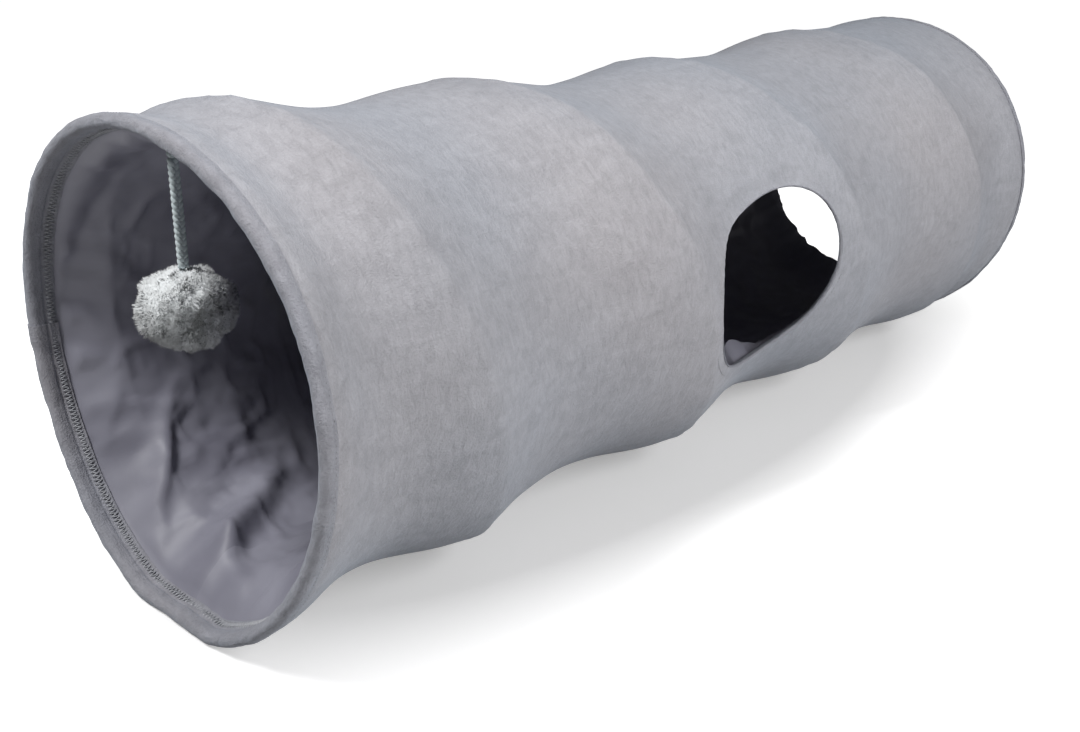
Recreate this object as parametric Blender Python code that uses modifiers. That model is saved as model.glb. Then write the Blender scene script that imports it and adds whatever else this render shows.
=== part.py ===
"""Collapsible cat tunnel: a suede tube held open by one long coil of spring wire, with a peephole and a pom-pom toy.

Metres, +Z up. The tunnel lies along X on the floor z = 0, its front mouth towards -X and its peephole towards -Y.
Every layer follows one surface, the outside of the tunnel. A place on it is given by a distance from the front
mouth, an angle round the tunnel (0 at the top, 90 degrees at -Y) and an inset from the outside towards the axis.
"""

import math

import bmesh
import bpy
from mathutils import Vector

# The tunnel as a whole
tunnel_length = 0.878
tunnel_radius = 0.155
floor_press = 0.0045
facets_around = 32
bays_along = 22

# The two mouths: the front hoop is bent a little egg-shaped and leans, the rear one is round and a little wider
front_mouth_oval = -0.0022
front_mouth_oval_angle = math.radians(46.8)
front_mouth_lobes = 0.0041
front_mouth_lobes_angle = math.radians(68.9)
front_mouth_lift = 0.0029
front_mouth_tilt = math.radians(2.0)
rear_mouth_flare = 0.002
rear_mouth_lift = 0.0029
mouth_reach = 0.045

# The coil, and how the cloth hangs between its turns
coil_pitch = 0.2175
coil_start_angle = math.radians(-120.0)
coil_lean = 0.021
coil_advance = 0.009
wire_radius = 0.0011
saddle_rise = 0.006
front_top_sag = 0.0165
rear_top_sag = 0.002
front_side_draw = 0.0175
rear_side_draw = 0.0105
front_under_draw = 0.0158
rear_under_draw = 0.008
sag_power = 0.6
ridge_power = 1.3
rest_power = 1.5
hem_hold = 0.025

# The layers of the wall, from the outside in
suede_thickness = 0.0012
film_thickness = 0.0003
lining_thickness = 0.0006
channel_thickness = 0.0004
channel_width = 0.012
layer_gap = 0.0004
wire_gap = 0.0005
channel_gap = 0.0015
seat_gap = 0.0003
seam_gap = 0.0008
flange_gap = 0.0015

# The slack of the lining: slanting folds, each a wave round the tunnel that wanders along it
fold_depth = 0.008
folds_around = 8
fold_length = 0.19
fold_margin = 0.05
top_fold_share = 0.35

# The bound edges of the mouths
hem_outer_width = 0.008
hem_inner_width = 0.016
hem_nose_steps = 6

# The crimped sleeves that close the hoops and hold the coil's ends
ferrule_length = 0.014
ferrule_wall = 0.0005
ferrule_clearance = 0.00015
ferrule_sides = 12

# The peephole and its facing
peephole_angle = math.radians(88.9)
peephole_setback = 0.0211
peephole_radius = 0.0785
peephole_oval = 0.0062
peephole_oval_angle = math.radians(-14.1)
peephole_lobes = 0.0035
peephole_lobes_angle = math.radians(-51.0)
peephole_points = 44
facing_width = 0.010
facing_thickness = 0.0008
cutter_reach = 0.035

# The toy: a tab under the front hem, a cord on a tack, and a pom-pom with the cord's knot in it
toy_setback = 0.016
toy_angle = math.radians(5.0)
tab_width = 0.010
tab_length = 0.009
tab_thickness = 0.0015
tack_radius = 0.0032
cord_radius = 0.003
cord_drop = 0.060
cord_points = 22
cord_sides_resolution = 3
knot_radius = 0.0045
pompom_radius = 0.0285
pompom_half_height = 0.0235
pompom_tuft_depth = 0.0013
pompom_tufts_around = 9
pompom_tufts_down = 5
pompom_segments = 24
pompom_rings = 14
pit_depth = 0.0095
pit_sides = 16
knot_segments = 12
knot_rings = 8

# Meshes
weld_distance = 0.00001
sharp_angle = math.radians(40.0)

# Places that follow from the sizes above
axis_height = tunnel_radius - floor_press
mouth_overhang = math.sin(front_mouth_tilt) * tunnel_radius
front_x = -(tunnel_length - mouth_overhang) / 2
wire_inset = suede_thickness + wire_gap + wire_radius
channel_inset = wire_inset + wire_radius + wire_gap
film_inset = channel_inset + channel_thickness + channel_gap
lining_inset = film_inset + film_thickness + layer_gap
hem_leg_inset = lining_inset + lining_thickness + wire_gap
hem_inset = hem_leg_inset + suede_thickness
flange_inset = lining_inset + lining_thickness + flange_gap
nose_radius = hem_inset / 2
ferrule_half_height = wire_radius + ferrule_clearance + ferrule_wall
hoop_setback = suede_thickness + seat_gap + ferrule_half_height
coil_setback = hoop_setback + 2 * wire_radius + seat_gap
inner_setback = coil_setback + ferrule_half_height + seat_gap
sleeve_setback = hem_outer_width + seam_gap
angle_step = 2 * math.pi / facets_around
stations = [tunnel_length * bay / bays_along for bay in range(bays_along + 1)]


def clear_scene():
    for old in list(bpy.data.objects):
        bpy.data.objects.remove(old, do_unlink=True)


def new_collection(name):
    group = bpy.data.collections.new(name)
    bpy.context.scene.collection.children.link(group)
    return group


def new_material(name, colour, roughness, metallic=0.0):
    made = bpy.data.materials.new(name)
    made.use_nodes = True
    shader = made.node_tree.nodes["Principled BSDF"]
    shader.inputs["Base Color"].default_value = (*colour, 1.0)
    shader.inputs["Roughness"].default_value = roughness
    shader.inputs["Metallic"].default_value = metallic
    return made


def coil_nominal(angle):
    """How far along the tunnel the evenly wound coil would be at a running angle."""
    return coil_pitch * (angle - coil_start_angle) / (2 * math.pi)


def coil_x(angle):
    """The coil's distance from the front mouth: its middle turns lie nearer the front, their tops most of all."""
    nominal = coil_nominal(angle)
    along = min(max(nominal / tunnel_length, 0.0), 1.0)
    shift = (coil_lean * math.cos(angle) + coil_advance) * math.sin(math.pi * along)
    return min(max(nominal - shift, coil_setback), tunnel_length - coil_setback)


def supports(angle):
    """Where wire holds the cloth at one angle: the front hoop, each turn of the coil, the rear hoop."""
    found = [0.0]
    turn = math.ceil(-coil_nominal(angle) / coil_pitch)
    while coil_nominal(angle + 2 * math.pi * turn) < tunnel_length:
        found.append(coil_x(angle + 2 * math.pi * turn))
        turn += 1
    return found + [tunnel_length]


def mouth_share(distance, reach=mouth_reach):
    """1 at a mouth, fading to 0 over reach."""
    return math.exp(-((distance / reach) ** 2))


def between_mouths(front, rear, x):
    """A size that changes evenly from the front mouth to the rear one."""
    return front + (rear - front) * x / tunnel_length


def outside_radius(x, angle):
    """The radius of the tunnel's outside, drawn in between the wires: most at the sides, the top and underneath."""
    up = max(math.cos(angle), 0.0)
    down = max(-math.cos(angle), 0.0)
    body = tunnel_radius + saddle_rise * math.cos(2 * math.pi * x / tunnel_length) * up
    front = tunnel_radius + front_mouth_oval * math.cos(2 * (angle - front_mouth_oval_angle))
    front += front_mouth_lobes * math.cos(3 * (angle - front_mouth_lobes_angle))
    front_share = mouth_share(x)
    rear_share = mouth_share(tunnel_length - x)
    body += front_share * (front - body)
    body += rear_share * (tunnel_radius + rear_mouth_flare - body)
    held = supports(angle)
    for before, after in zip(held, held[1:]):
        if before <= x <= after and after > before:
            arch = max(math.sin(math.pi * (x - before) / (after - before)), 0.0)
            drawn = between_mouths(front_top_sag, rear_top_sag, x) * up
            drawn += between_mouths(front_side_draw, rear_side_draw, x) * math.sin(angle) ** 2
            drawn *= arch ** ridge_power
            drawn += between_mouths(front_under_draw, rear_under_draw, x) * down * arch ** rest_power
            slack = ((after - before) / coil_pitch) ** sag_power
            slack *= 1.0 - mouth_share(min(x, tunnel_length - x), hem_hold)
            return body - slack * drawn
    return body


def smooth_point(x, angle, inset):
    """A place on the wall, pressed flat where it would reach below the floor."""
    radius = outside_radius(x, angle) - inset
    height = axis_height + front_mouth_lift * mouth_share(x) + rear_mouth_lift * mouth_share(tunnel_length - x)
    z = max(height + radius * math.cos(angle), inset)
    tilt = math.tan(front_mouth_tilt) * mouth_share(x) * (z - axis_height)
    return Vector((front_x + x + tilt, -radius * math.sin(angle), z))


def wall_point(x, angle, inset):
    """The same place on the faceted wall, between the corners of the facet that it lies in."""
    bay = min(max(int(x / tunnel_length * bays_along), 0), bays_along - 1)
    along = (x - stations[bay]) / (stations[bay + 1] - stations[bay])
    facet = math.floor(angle / angle_step)
    across = angle / angle_step - facet
    corners = []
    for station in (stations[bay], stations[bay + 1]):
        low = smooth_point(station, facet * angle_step, inset)
        high = smooth_point(station, (facet + 1) * angle_step, inset)
        corners.append(low.lerp(high, across))
    return corners[0].lerp(corners[1], along)


def wrapped_grid(name, columns, rows, place, open_ends=False, mirrored_columns=(), mirrored_rows=()):
    """A grid whose corners go to place(column, row); edges that meet are welded, and round ends can be filled.

    All diagonals run the same way, so that layers a hair apart have the same facets. A thin strip's grid runs along
    one of its sides and back along the other, so one side's diagonals are mirrored, and then both sides match.
    """
    shape = bmesh.new()
    bmesh.ops.create_grid(shape, x_segments=columns, y_segments=rows, size=1.0)
    plain, mirrored = [], []
    for face in shape.faces:
        middle = face.calc_center_median()
        column = int((middle.x + 1) / 2 * columns)
        row = int((middle.y + 1) / 2 * rows)
        (mirrored if column in mirrored_columns or row in mirrored_rows else plain).append(face)
    bmesh.ops.triangulate(shape, faces=plain, quad_method="FIXED")
    bmesh.ops.triangulate(shape, faces=mirrored, quad_method="ALTERNATE")
    for corner in shape.verts:
        column = round((corner.co.x + 1) / 2 * columns)
        row = round((corner.co.y + 1) / 2 * rows)
        corner.co = place(column, row)
    bmesh.ops.remove_doubles(shape, verts=shape.verts, dist=weld_distance)
    if not open_ends:
        rims = [edge for edge in shape.edges if edge.is_boundary]
        if rims:
            bmesh.ops.holes_fill(shape, edges=rims)
    bmesh.ops.recalc_face_normals(shape, faces=shape.faces)
    mesh = bpy.data.meshes.new(name)
    shape.to_mesh(mesh)
    shape.free()
    return bpy.data.objects.new(name, mesh)


def dress(piece, finish, group, parent=None):
    """Gives a piece its material and place, and shades it smooth up to its sharp edges."""
    if piece.type == "MESH":
        piece.data.shade_smooth()
        piece.data.set_sharp_from_angle(angle=sharp_angle)
    piece.data.materials.append(finish)
    group.objects.link(piece)
    if parent:
        piece.parent = parent
        piece.matrix_parent_inverse = parent.matrix_world.inverted()
    return piece


def solidify(piece, thickness):
    shell = piece.modifiers.new("wall", "SOLIDIFY")
    shell.thickness = thickness
    shell.offset = -1.0


def cut(piece, cutter):
    hole = piece.modifiers.new(cutter.name, "BOOLEAN")
    hole.operation = "DIFFERENCE"
    hole.object = cutter


def peephole_middle():
    """How far the peephole's middle is from the front mouth."""
    return coil_x(peephole_angle + 2 * math.pi) + peephole_setback + peephole_radius


def lining_fold(x, angle):
    """How far the slack lining stands off the wall: most underneath, and not at all at the mouths and the peephole."""
    arc = math.remainder(angle - peephole_angle, 2 * math.pi) * tunnel_radius
    flange = peephole_radius + peephole_oval + peephole_lobes + facing_width
    free = min(x, tunnel_length - x, math.hypot(x - peephole_middle(), arc) - flange)
    slack = min(max(free / fold_margin - 1.0, 0.0), 1.0)
    slack *= top_fold_share + (1.0 - top_fold_share) * (1.0 - math.cos(angle)) / 2
    wave = 1.0 + math.sin(folds_around * angle + 2 * math.pi * x / fold_length)
    return fold_depth * slack * wave / 2


def no_fold(x, angle):
    return 0.0


def make_layer(name, setback, inset, thickness, fold=no_fold):
    """A sheet of the wall, from mouth to mouth, with its outer face at inset and its folds inside that."""
    edges = stations[:]
    edges[0] = setback
    edges[-1] = tunnel_length - setback

    def place(column, row):
        angle = row * angle_step
        return wall_point(edges[column], angle, inset + fold(edges[column], angle))

    piece = wrapped_grid(name, bays_along, facets_around, place, open_ends=True)
    face = piece.data.polygons[0]
    outward = Vector((0.0, face.center.y, face.center.z - axis_height))
    if face.normal.dot(outward) < 0:
        piece.data.flip_normals()
    solidify(piece, thickness)
    return piece


def make_wire(name, points, closed):
    """A round wire through points, as a polyline with a round section and capped ends."""
    line = bpy.data.curves.new(name, "CURVE")
    line.dimensions = "3D"
    line.bevel_depth = wire_radius
    line.bevel_resolution = 1
    line.use_fill_caps = not closed
    run = line.splines.new("POLY")
    run.points.add(len(points) - 1)
    for corner, place in zip(run.points, points):
        corner.co = (*place, 1.0)
    run.use_cyclic_u = closed
    return bpy.data.objects.new(name, line)


def coil_angles():
    """The corners of the coil, one on each facet edge, with a straight facet beside each hoop."""
    first = math.floor(coil_start_angle / angle_step)
    last = first + 1
    while coil_nominal(last * angle_step) < tunnel_length - coil_setback:
        last += 1
    return [count * angle_step for count in range(first, last + 2)]


def coil_inset(angle, angles):
    """The coil lies in the wall, and drops to the hoops' depth beside them."""
    beside_hoop = angle in angles[:2] + angles[-2:]
    return nose_radius if beside_hoop else wire_inset


def make_coil():
    angles = coil_angles()
    places = []
    for angle in angles:
        x = coil_x(angle)
        if angle in angles[:2]:
            x = coil_setback
        if angle in angles[-2:]:
            x = tunnel_length - coil_setback
        places.append(wall_point(x, angle, coil_inset(angle, angles)))
    least = min(
        (one - other).length
        for count, one in enumerate(places)
        for other in places[count + facets_around // 2:]
    )
    print("coil_wire: least gap to itself", round(least - 2 * wire_radius, 4), "m")
    return make_wire("coil_wire", places, closed=False)


def make_channel():
    """The sewn tape that holds the coil against the suede, under the wire from hoop to hoop."""
    angles = coil_angles()[3:-3]
    half = channel_width / 2
    low = channel_inset + channel_thickness
    section = ((-half, channel_inset), (half, channel_inset), (half, low), (-half, low))
    wire_side = (0,)

    def place(column, row):
        across, inset = section[row % len(section)]
        return wall_point(coil_x(angles[column]) + across, angles[column], inset)

    return wrapped_grid("wire_channel", len(angles) - 1, len(section), place, mirrored_rows=wire_side)


def make_hoop(name, x):
    places = [wall_point(x, count * angle_step, nose_radius) for count in range(facets_around)]
    return make_wire(name, places, closed=True)


def make_ferrule(name, x, towards_middle, facet):
    """A flat crimped sleeve over the hoop and the coil's end, side by side on one straight facet."""
    beside = x + towards_middle * (2 * wire_radius + seat_gap)
    hoop_start = wall_point(x, facet * angle_step, nose_radius)
    hoop_end = wall_point(x, (facet + 1) * angle_step, nose_radius)
    coil_start = wall_point(beside, facet * angle_step, nose_radius)
    coil_end = wall_point(beside, (facet + 1) * angle_step, nose_radius)
    middle = (hoop_start + hoop_end + coil_start + coil_end) / 4
    run = (hoop_end - hoop_start).normalized()
    side = (coil_start - hoop_start).normalized()
    depth = run.cross(side).normalized()
    spread = (coil_start - hoop_start).length / 2
    bore = wire_radius + ferrule_clearance
    outside = bore + ferrule_wall
    sides_each = ferrule_sides // 2

    def section_point(step, radius):
        """A flat-sided oval round both wires."""
        half_turn = math.pi * (step % sides_each) / (sides_each - 1) - math.pi / 2
        sign = 1 if step < sides_each else -1
        across = sign * (spread + radius * math.cos(half_turn))
        return side * across + depth * (sign * radius * math.sin(half_turn))

    rings = ((-1, outside), (1, outside), (1, bore), (-1, bore))

    def place(column, row):
        end, radius = rings[column % len(rings)]
        return middle + run * (end * ferrule_length / 2) + section_point(row % ferrule_sides, radius)

    return wrapped_grid(name, len(rings), ferrule_sides, place)


def hem_section():
    """The bound edge from its outer leg round the nose to its inner leg: (setback, inset) pairs, outside then back."""
    outer = [(hem_outer_width, 0.0)]
    inner = [(hem_outer_width, suede_thickness)]
    for step in range(hem_nose_steps + 1):
        turn = math.pi * step / hem_nose_steps
        for line, radius in ((outer, nose_radius), (inner, nose_radius - suede_thickness)):
            setback = nose_radius - radius * math.sin(turn)
            line.append((setback, nose_radius - radius * math.cos(turn)))
    outer.append((hem_inner_width, hem_inset))
    inner.append((hem_inner_width, hem_leg_inset))
    return outer + inner[::-1]


def make_hem(name, from_rear):
    section = hem_section()

    def place(column, row):
        setback, inset = section[column % len(section)]
        x = tunnel_length - setback if from_rear else setback
        return wall_point(x, (row % facets_around) * angle_step, inset)

    return wrapped_grid(name, len(section), facets_around, place)


def peephole_place(step, grow, inset):
    """A place on the peephole's outline, let out by grow, at a depth in the wall."""
    turn = 2 * math.pi * step / peephole_points
    radius = peephole_radius + grow
    radius += peephole_oval * math.cos(2 * (turn - peephole_oval_angle))
    radius += peephole_lobes * math.cos(3 * (turn - peephole_lobes_angle))
    x = peephole_middle() + radius * math.cos(turn)
    angle = peephole_angle + radius * math.sin(turn) / tunnel_radius
    return wall_point(x, angle, inset)


def make_peephole_cutter():
    """A plug through the wall, a little larger than the facing's lip."""
    grow = facing_thickness + seat_gap
    depths = (-cutter_reach, -seat_gap, flange_inset + seat_gap, flange_inset + cutter_reach)

    def place(column, row):
        return peephole_place(row % peephole_points, grow, depths[column])

    cutter = wrapped_grid("peephole_cutter", len(depths) - 1, peephole_points, place)
    cutter.hide_render = True
    cutter.display_type = "WIRE"
    return cutter


def make_facing():
    """The turned edge of the peephole: a lip through the wall and a flange inside the lining."""
    deep = flange_inset + facing_thickness
    section = (
        (0.0, 0.0),
        (facing_thickness, 0.0),
        (facing_thickness, flange_inset),
        (facing_width, flange_inset),
        (facing_width, deep),
        (0.0, deep),
    )
    inner_side = (4, 5)

    def place(column, row):
        grow, inset = section[column % len(section)]
        return peephole_place(row % peephole_points, grow, inset)

    return wrapped_grid("peephole_facing", len(section), peephole_points, place, mirrored_columns=inner_side)


def toy_pivot():
    """Where the cord swings: the middle of the tack, under the tab."""
    return wall_point(toy_setback, toy_angle, hem_inset + seat_gap + tab_thickness + seat_gap + tack_radius)


def make_tab():
    """The folded tab sewn under the hem's inner edge, which follows the wall."""
    shape = bmesh.new()
    bmesh.ops.create_cube(shape, size=1.0)
    for corner in shape.verts:
        x = toy_setback + corner.co.x * tab_length
        angle = toy_angle - corner.co.y * tab_width / tunnel_radius
        corner.co = wall_point(x, angle, hem_inset + seat_gap + (0.5 - corner.co.z) * tab_thickness)
    mesh = bpy.data.meshes.new("anchor_tab")
    shape.to_mesh(mesh)
    shape.free()
    piece = bpy.data.objects.new("anchor_tab", mesh)
    edge = piece.modifiers.new("rounded edges", "BEVEL")
    edge.width = tab_thickness / 4
    edge.segments = 2
    return piece


def unlink(piece):
    """Takes a new primitive out of the scene's own collection, so that its group can hold it."""
    for group in list(piece.users_collection):
        group.objects.unlink(piece)
    return piece


def make_ball(name, place, radius, segments, rings):
    bpy.ops.mesh.primitive_uv_sphere_add(segments=segments, ring_count=rings, radius=radius, location=place)
    piece = bpy.context.object
    piece.name = name
    return unlink(piece)


def main():
    clear_scene()
    tunnel = new_collection("cat_tunnel")
    cutters = new_collection("cutters")
    suede = new_material("grey_suede", (0.42, 0.43, 0.46), 0.9)
    satin = new_material("lining_satin", (0.12, 0.11, 0.14), 0.45)
    film = new_material("crinkle_film", (0.75, 0.76, 0.78), 0.3)
    steel = new_material("spring_steel", (0.55, 0.56, 0.58), 0.35, 1.0)
    tape = new_material("channel_tape", (0.30, 0.30, 0.33), 0.8)
    braid = new_material("toy_cord", (0.45, 0.55, 0.57), 0.9)
    fur = new_material("pompom_yarn", (0.86, 0.88, 0.88), 0.95)

    cutter = make_peephole_cutter()
    cutters.objects.link(cutter)
    layers = (
        ("outer_sleeve", sleeve_setback, 0.0, suede_thickness, suede, no_fold),
        ("crinkle_film", inner_setback, film_inset, film_thickness, film, no_fold),
        ("lining", inner_setback, lining_inset, lining_thickness, satin, lining_fold),
    )
    for name, setback, inset, thickness, finish, fold in layers:
        piece = make_layer(name, setback, inset, thickness, fold)
        cut(piece, cutter)
        dress(piece, finish, tunnel)

    dress(make_coil(), steel, tunnel)
    dress(make_channel(), tape, tunnel)
    dress(make_facing(), suede, tunnel)

    rear = bpy.data.objects.new("rear_mouth", None)
    rear.location = (front_x + tunnel_length, 0.0, axis_height)
    tunnel.objects.link(rear)
    bpy.context.view_layer.update()
    angles = coil_angles()
    first_facet = round(angles[0] / angle_step)
    last_facet = round(angles[-2] / angle_step)
    rear_x = tunnel_length - hoop_setback
    dress(make_hoop("front_hoop", hoop_setback), steel, tunnel)
    dress(make_ferrule("front_ferrule", hoop_setback, 1, first_facet), steel, tunnel)
    dress(make_hem("front_hem", from_rear=False), suede, tunnel)
    dress(make_hoop("rear_hoop", rear_x), steel, tunnel, rear)
    dress(make_ferrule("rear_ferrule", rear_x, -1, last_facet), steel, tunnel, rear)
    dress(make_hem("rear_hem", from_rear=True), suede, tunnel, rear)

    pivot = toy_pivot()
    swing = bpy.data.objects.new("toy_swing", None)
    swing.location = pivot
    tunnel.objects.link(swing)
    bpy.context.view_layer.update()
    print("toy pivot", [round(value, 5) for value in pivot])
    dress(make_tab(), suede, tunnel)
    dress(make_ball("cord_tack", pivot, tack_radius, knot_segments, knot_rings), braid, tunnel, swing)

    top = pivot.z - tack_radius - seat_gap
    bottom = top - cord_drop
    line = bpy.data.curves.new("toy_cord", "CURVE")
    line.dimensions = "3D"
    line.bevel_depth = cord_radius
    line.bevel_resolution = cord_sides_resolution
    line.use_fill_caps = True
    run = line.splines.new("POLY")
    run.points.add(cord_points - 1)
    for count, corner in enumerate(run.points):
        corner.co = (pivot.x, pivot.y, top - cord_drop * count / (cord_points - 1), 1.0)
    dress(bpy.data.objects.new("toy_cord", line), braid, tunnel, swing)

    knot_place = Vector((pivot.x, pivot.y, bottom - seat_gap - knot_radius))
    dress(make_ball("cord_knot", knot_place, knot_radius, knot_segments, knot_rings), braid, tunnel, swing)

    ball_top = knot_place.z + knot_radius
    middle = Vector((pivot.x, pivot.y, ball_top - pompom_half_height))
    ball = make_ball("pompom", (0.0, 0.0, 0.0), 1.0, pompom_segments, pompom_rings)
    for corner in ball.data.vertices:
        turn = math.atan2(corner.co.y, corner.co.x)
        fall = math.acos(max(-1.0, min(1.0, corner.co.z)))
        tuft = math.cos(pompom_tufts_around * turn) * math.sin(pompom_tufts_down * fall)
        reach = pompom_radius + pompom_tuft_depth * tuft * math.sin(fall)
        corner.co = Vector((
            corner.co.x * reach,
            corner.co.y * reach,
            corner.co.z * pompom_half_height,
        )) + middle
    pit_radius = knot_radius + seat_gap
    bpy.ops.mesh.primitive_cylinder_add(
        vertices=pit_sides, radius=pit_radius, depth=2 * pit_depth, location=(pivot.x, pivot.y, ball_top)
    )
    pit = unlink(bpy.context.object)
    pit.name = "knot_pit"
    pit.hide_render = True
    pit.display_type = "WIRE"
    cutters.objects.link(pit)
    cut(ball, pit)
    dress(ball, fur, tunnel, swing)


main()
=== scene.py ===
# %% [markdown]
# A collapsible cat tunnel, dressed for its portrait.
#
# On the real thing one long coil of spring wire holds a suede tube open. Inside are a thin crackling film
# and a slack satin lining. Both mouths are bound with a folded band of suede, one side has a peephole, and
# a pom-pom hangs on a braided cord in the front mouth. The hard parts come packed from the construction
# script. This lesson gives every soft part its cloth, its folds and its stitches, in metres and in the same
# frame.

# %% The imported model
import math
import random

import bmesh
import bpy
import numpy as np
from mathutils import Matrix, Vector, noise


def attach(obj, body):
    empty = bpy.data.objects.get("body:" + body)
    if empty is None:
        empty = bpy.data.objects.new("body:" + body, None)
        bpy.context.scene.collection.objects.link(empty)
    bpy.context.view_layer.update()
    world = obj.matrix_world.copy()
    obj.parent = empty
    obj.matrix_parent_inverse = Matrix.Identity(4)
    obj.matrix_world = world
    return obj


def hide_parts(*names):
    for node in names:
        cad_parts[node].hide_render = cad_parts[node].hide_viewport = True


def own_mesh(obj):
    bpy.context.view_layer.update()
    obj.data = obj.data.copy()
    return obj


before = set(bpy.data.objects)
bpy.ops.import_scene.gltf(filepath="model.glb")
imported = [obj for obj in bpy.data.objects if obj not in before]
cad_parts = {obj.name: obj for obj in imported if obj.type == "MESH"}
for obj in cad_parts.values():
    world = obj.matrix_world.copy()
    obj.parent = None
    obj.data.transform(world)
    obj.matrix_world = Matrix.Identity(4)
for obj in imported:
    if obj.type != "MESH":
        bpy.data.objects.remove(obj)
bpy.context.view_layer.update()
print("packed nodes:", ", ".join(sorted(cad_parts)))

# %% [markdown]
# A few helpers keep the steps short. Two shape numbers: one fades with distance and the other sets limits.
# One gives evenly spaced angles round a circle. The rest join rings of points and put new things into the
# scene, under their own names.


# %% Small helpers
def near(distance, reach):
    """1 at a place, and less the further away."""
    return math.exp(-((distance / reach) ** 2))


def clamp(value, low=0.0, high=1.0):
    return min(max(value, low), high)


def turns(count):
    """That many angles, evenly spaced round a circle."""
    return [2 * math.pi * step / count for step in range(count)]


def put_in_scene(name, data):
    piece = bpy.data.objects.new(name, data)
    bpy.context.scene.collection.objects.link(piece)
    return piece


def primitive(name, add, **settings):
    """One of Blender's basic shapes, under a name of its own."""
    bpy.ops.object.select_all(action="DESELECT")
    add(**settings)
    piece = bpy.context.object
    piece.name = name
    piece.data.name = name
    return piece


def bridge(shape, rings, closed=False):
    """Joins each ring of points to the next, and closes both ends unless the last ring joins the first."""
    spans = list(zip(rings, rings[1:])) + ([(rings[-1], rings[0])] if closed else [])
    for ring, following in spans:
        for step in range(len(ring)):
            after = (step + 1) % len(ring)
            shape.faces.new((ring[step], ring[after], following[after], following[step]))
    if not closed:
        shape.faces.new(rings[0][::-1])
        shape.faces.new(rings[-1])


def mesh_piece(name, shape):
    """Makes a piece of the points and faces collected so far."""
    mesh = bpy.data.meshes.new(name)
    shape.to_mesh(mesh)
    shape.free()
    return put_in_scene(name, mesh)


print("half a reach away,", round(near(0.5, 1.0), 2), "is left")

# %% [markdown]
# The camera comes first, because everything later is judged through it. The photograph was taken from above
# the front mouth, a little to the peephole's side. Its place, its two angles and its lens were worked out
# from the two round mouths: a circle of known size shows where the camera stands.

# %% The camera
camera_place = Vector((-0.7450, -0.5716, 0.4133))
camera_turn = math.radians(48.127)
camera_dip = math.radians(21.555)
camera_roll = math.radians(-1.028)
sensor_width = 36.0
lens_length = 38.932

ahead = Vector((
    math.sin(camera_turn) * math.cos(camera_dip),
    math.cos(camera_turn) * math.cos(camera_dip),
    -math.sin(camera_dip),
))
level_right = Vector((math.cos(camera_turn), -math.sin(camera_turn), 0.0))
level_down = ahead.cross(level_right)
picture_right = level_right * math.cos(camera_roll) + level_down * math.sin(camera_roll)
picture_up = level_right * math.sin(camera_roll) - level_down * math.cos(camera_roll)

lens = bpy.data.cameras.new("photo_camera")
lens.sensor_width = sensor_width
lens.lens = lens_length
lens.clip_start = 0.01
camera = put_in_scene("photo_camera", lens)
camera.matrix_world = Matrix((
    (picture_right.x, picture_up.x, -ahead.x, camera_place.x),
    (picture_right.y, picture_up.y, -ahead.y, camera_place.y),
    (picture_right.z, picture_up.z, -ahead.z, camera_place.z),
    (0.0, 0.0, 0.0, 1.0),
))
bpy.context.scene.camera = camera
print("camera looks along", [round(value, 3) for value in ahead])

# %% [markdown]
# The tunnel's sizes are the construction's own. Every soft layer follows one surface, the outside of the
# tunnel, and a place on it is a distance from the front mouth, an angle round the tunnel (0 at the top, 90
# degrees on the peephole's side) and an inset towards the axis.

# %% Sizes of the tunnel
tunnel_length = 0.878
tunnel_radius = 0.155
floor_press = 0.0045
front_mouth_oval = -0.0022
front_mouth_oval_angle = math.radians(46.8)
front_mouth_lobes = 0.0041
front_mouth_lobes_angle = math.radians(68.9)
front_mouth_lift = 0.0029
front_mouth_tilt = math.radians(2.0)
rear_mouth_flare = 0.002
rear_mouth_lift = 0.0029
mouth_reach = 0.045
coil_pitch = 0.2175
coil_start_angle = math.radians(-120.0)
coil_lean = 0.021
coil_advance = 0.009
wire_radius = 0.0011
saddle_rise = 0.006
front_top_sag = 0.0165
rear_top_sag = 0.002
front_side_draw = 0.0175
rear_side_draw = 0.0105
front_under_draw = 0.0158
rear_under_draw = 0.008
sag_power = 0.6
hem_hold = 0.025

suede_thickness = 0.0012
film_thickness = 0.0003
lining_thickness = 0.0006
layer_gap = 0.0004
wire_gap = 0.0005
channel_thickness = 0.0004
channel_width = 0.012
channel_gap = 0.0015
seat_gap = 0.0003
flange_gap = 0.0015

axis_height = tunnel_radius - floor_press
front_x = -(tunnel_length - math.sin(front_mouth_tilt) * tunnel_radius) / 2
wire_inset = suede_thickness + wire_gap + wire_radius
channel_inset = wire_inset + wire_radius + wire_gap
film_inset = channel_inset + channel_thickness + channel_gap
lining_inset = film_inset + film_thickness + layer_gap
hem_leg_inset = lining_inset + lining_thickness + wire_gap
hem_inset = hem_leg_inset + suede_thickness
nose_radius = hem_inset / 2
hem_outer_width = 0.008
hem_inner_width = 0.016
print("axis at", round(axis_height, 4), "m, front mouth at x =", round(front_x, 4), "m")

# %% [markdown]
# The coil is the skeleton. Where it touches the suede the cloth stands proud, and between two turns it is
# drawn in, on top, at the sides and underneath. So the first helpers say where the coil runs, and between
# which two wires a point of the cloth lies.


# %% Where the coil runs
def coil_nominal(angle):
    return coil_pitch * (angle - coil_start_angle) / (2 * math.pi)


def coil_x(angle):
    """The coil's distance from the front mouth. Its middle turns lie nearer to it, their tops most of all."""
    nominal = coil_nominal(angle)
    along = clamp(nominal / tunnel_length)
    return nominal - (coil_lean * math.cos(angle) + coil_advance) * math.sin(math.pi * along)


wires_known = {}


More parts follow.
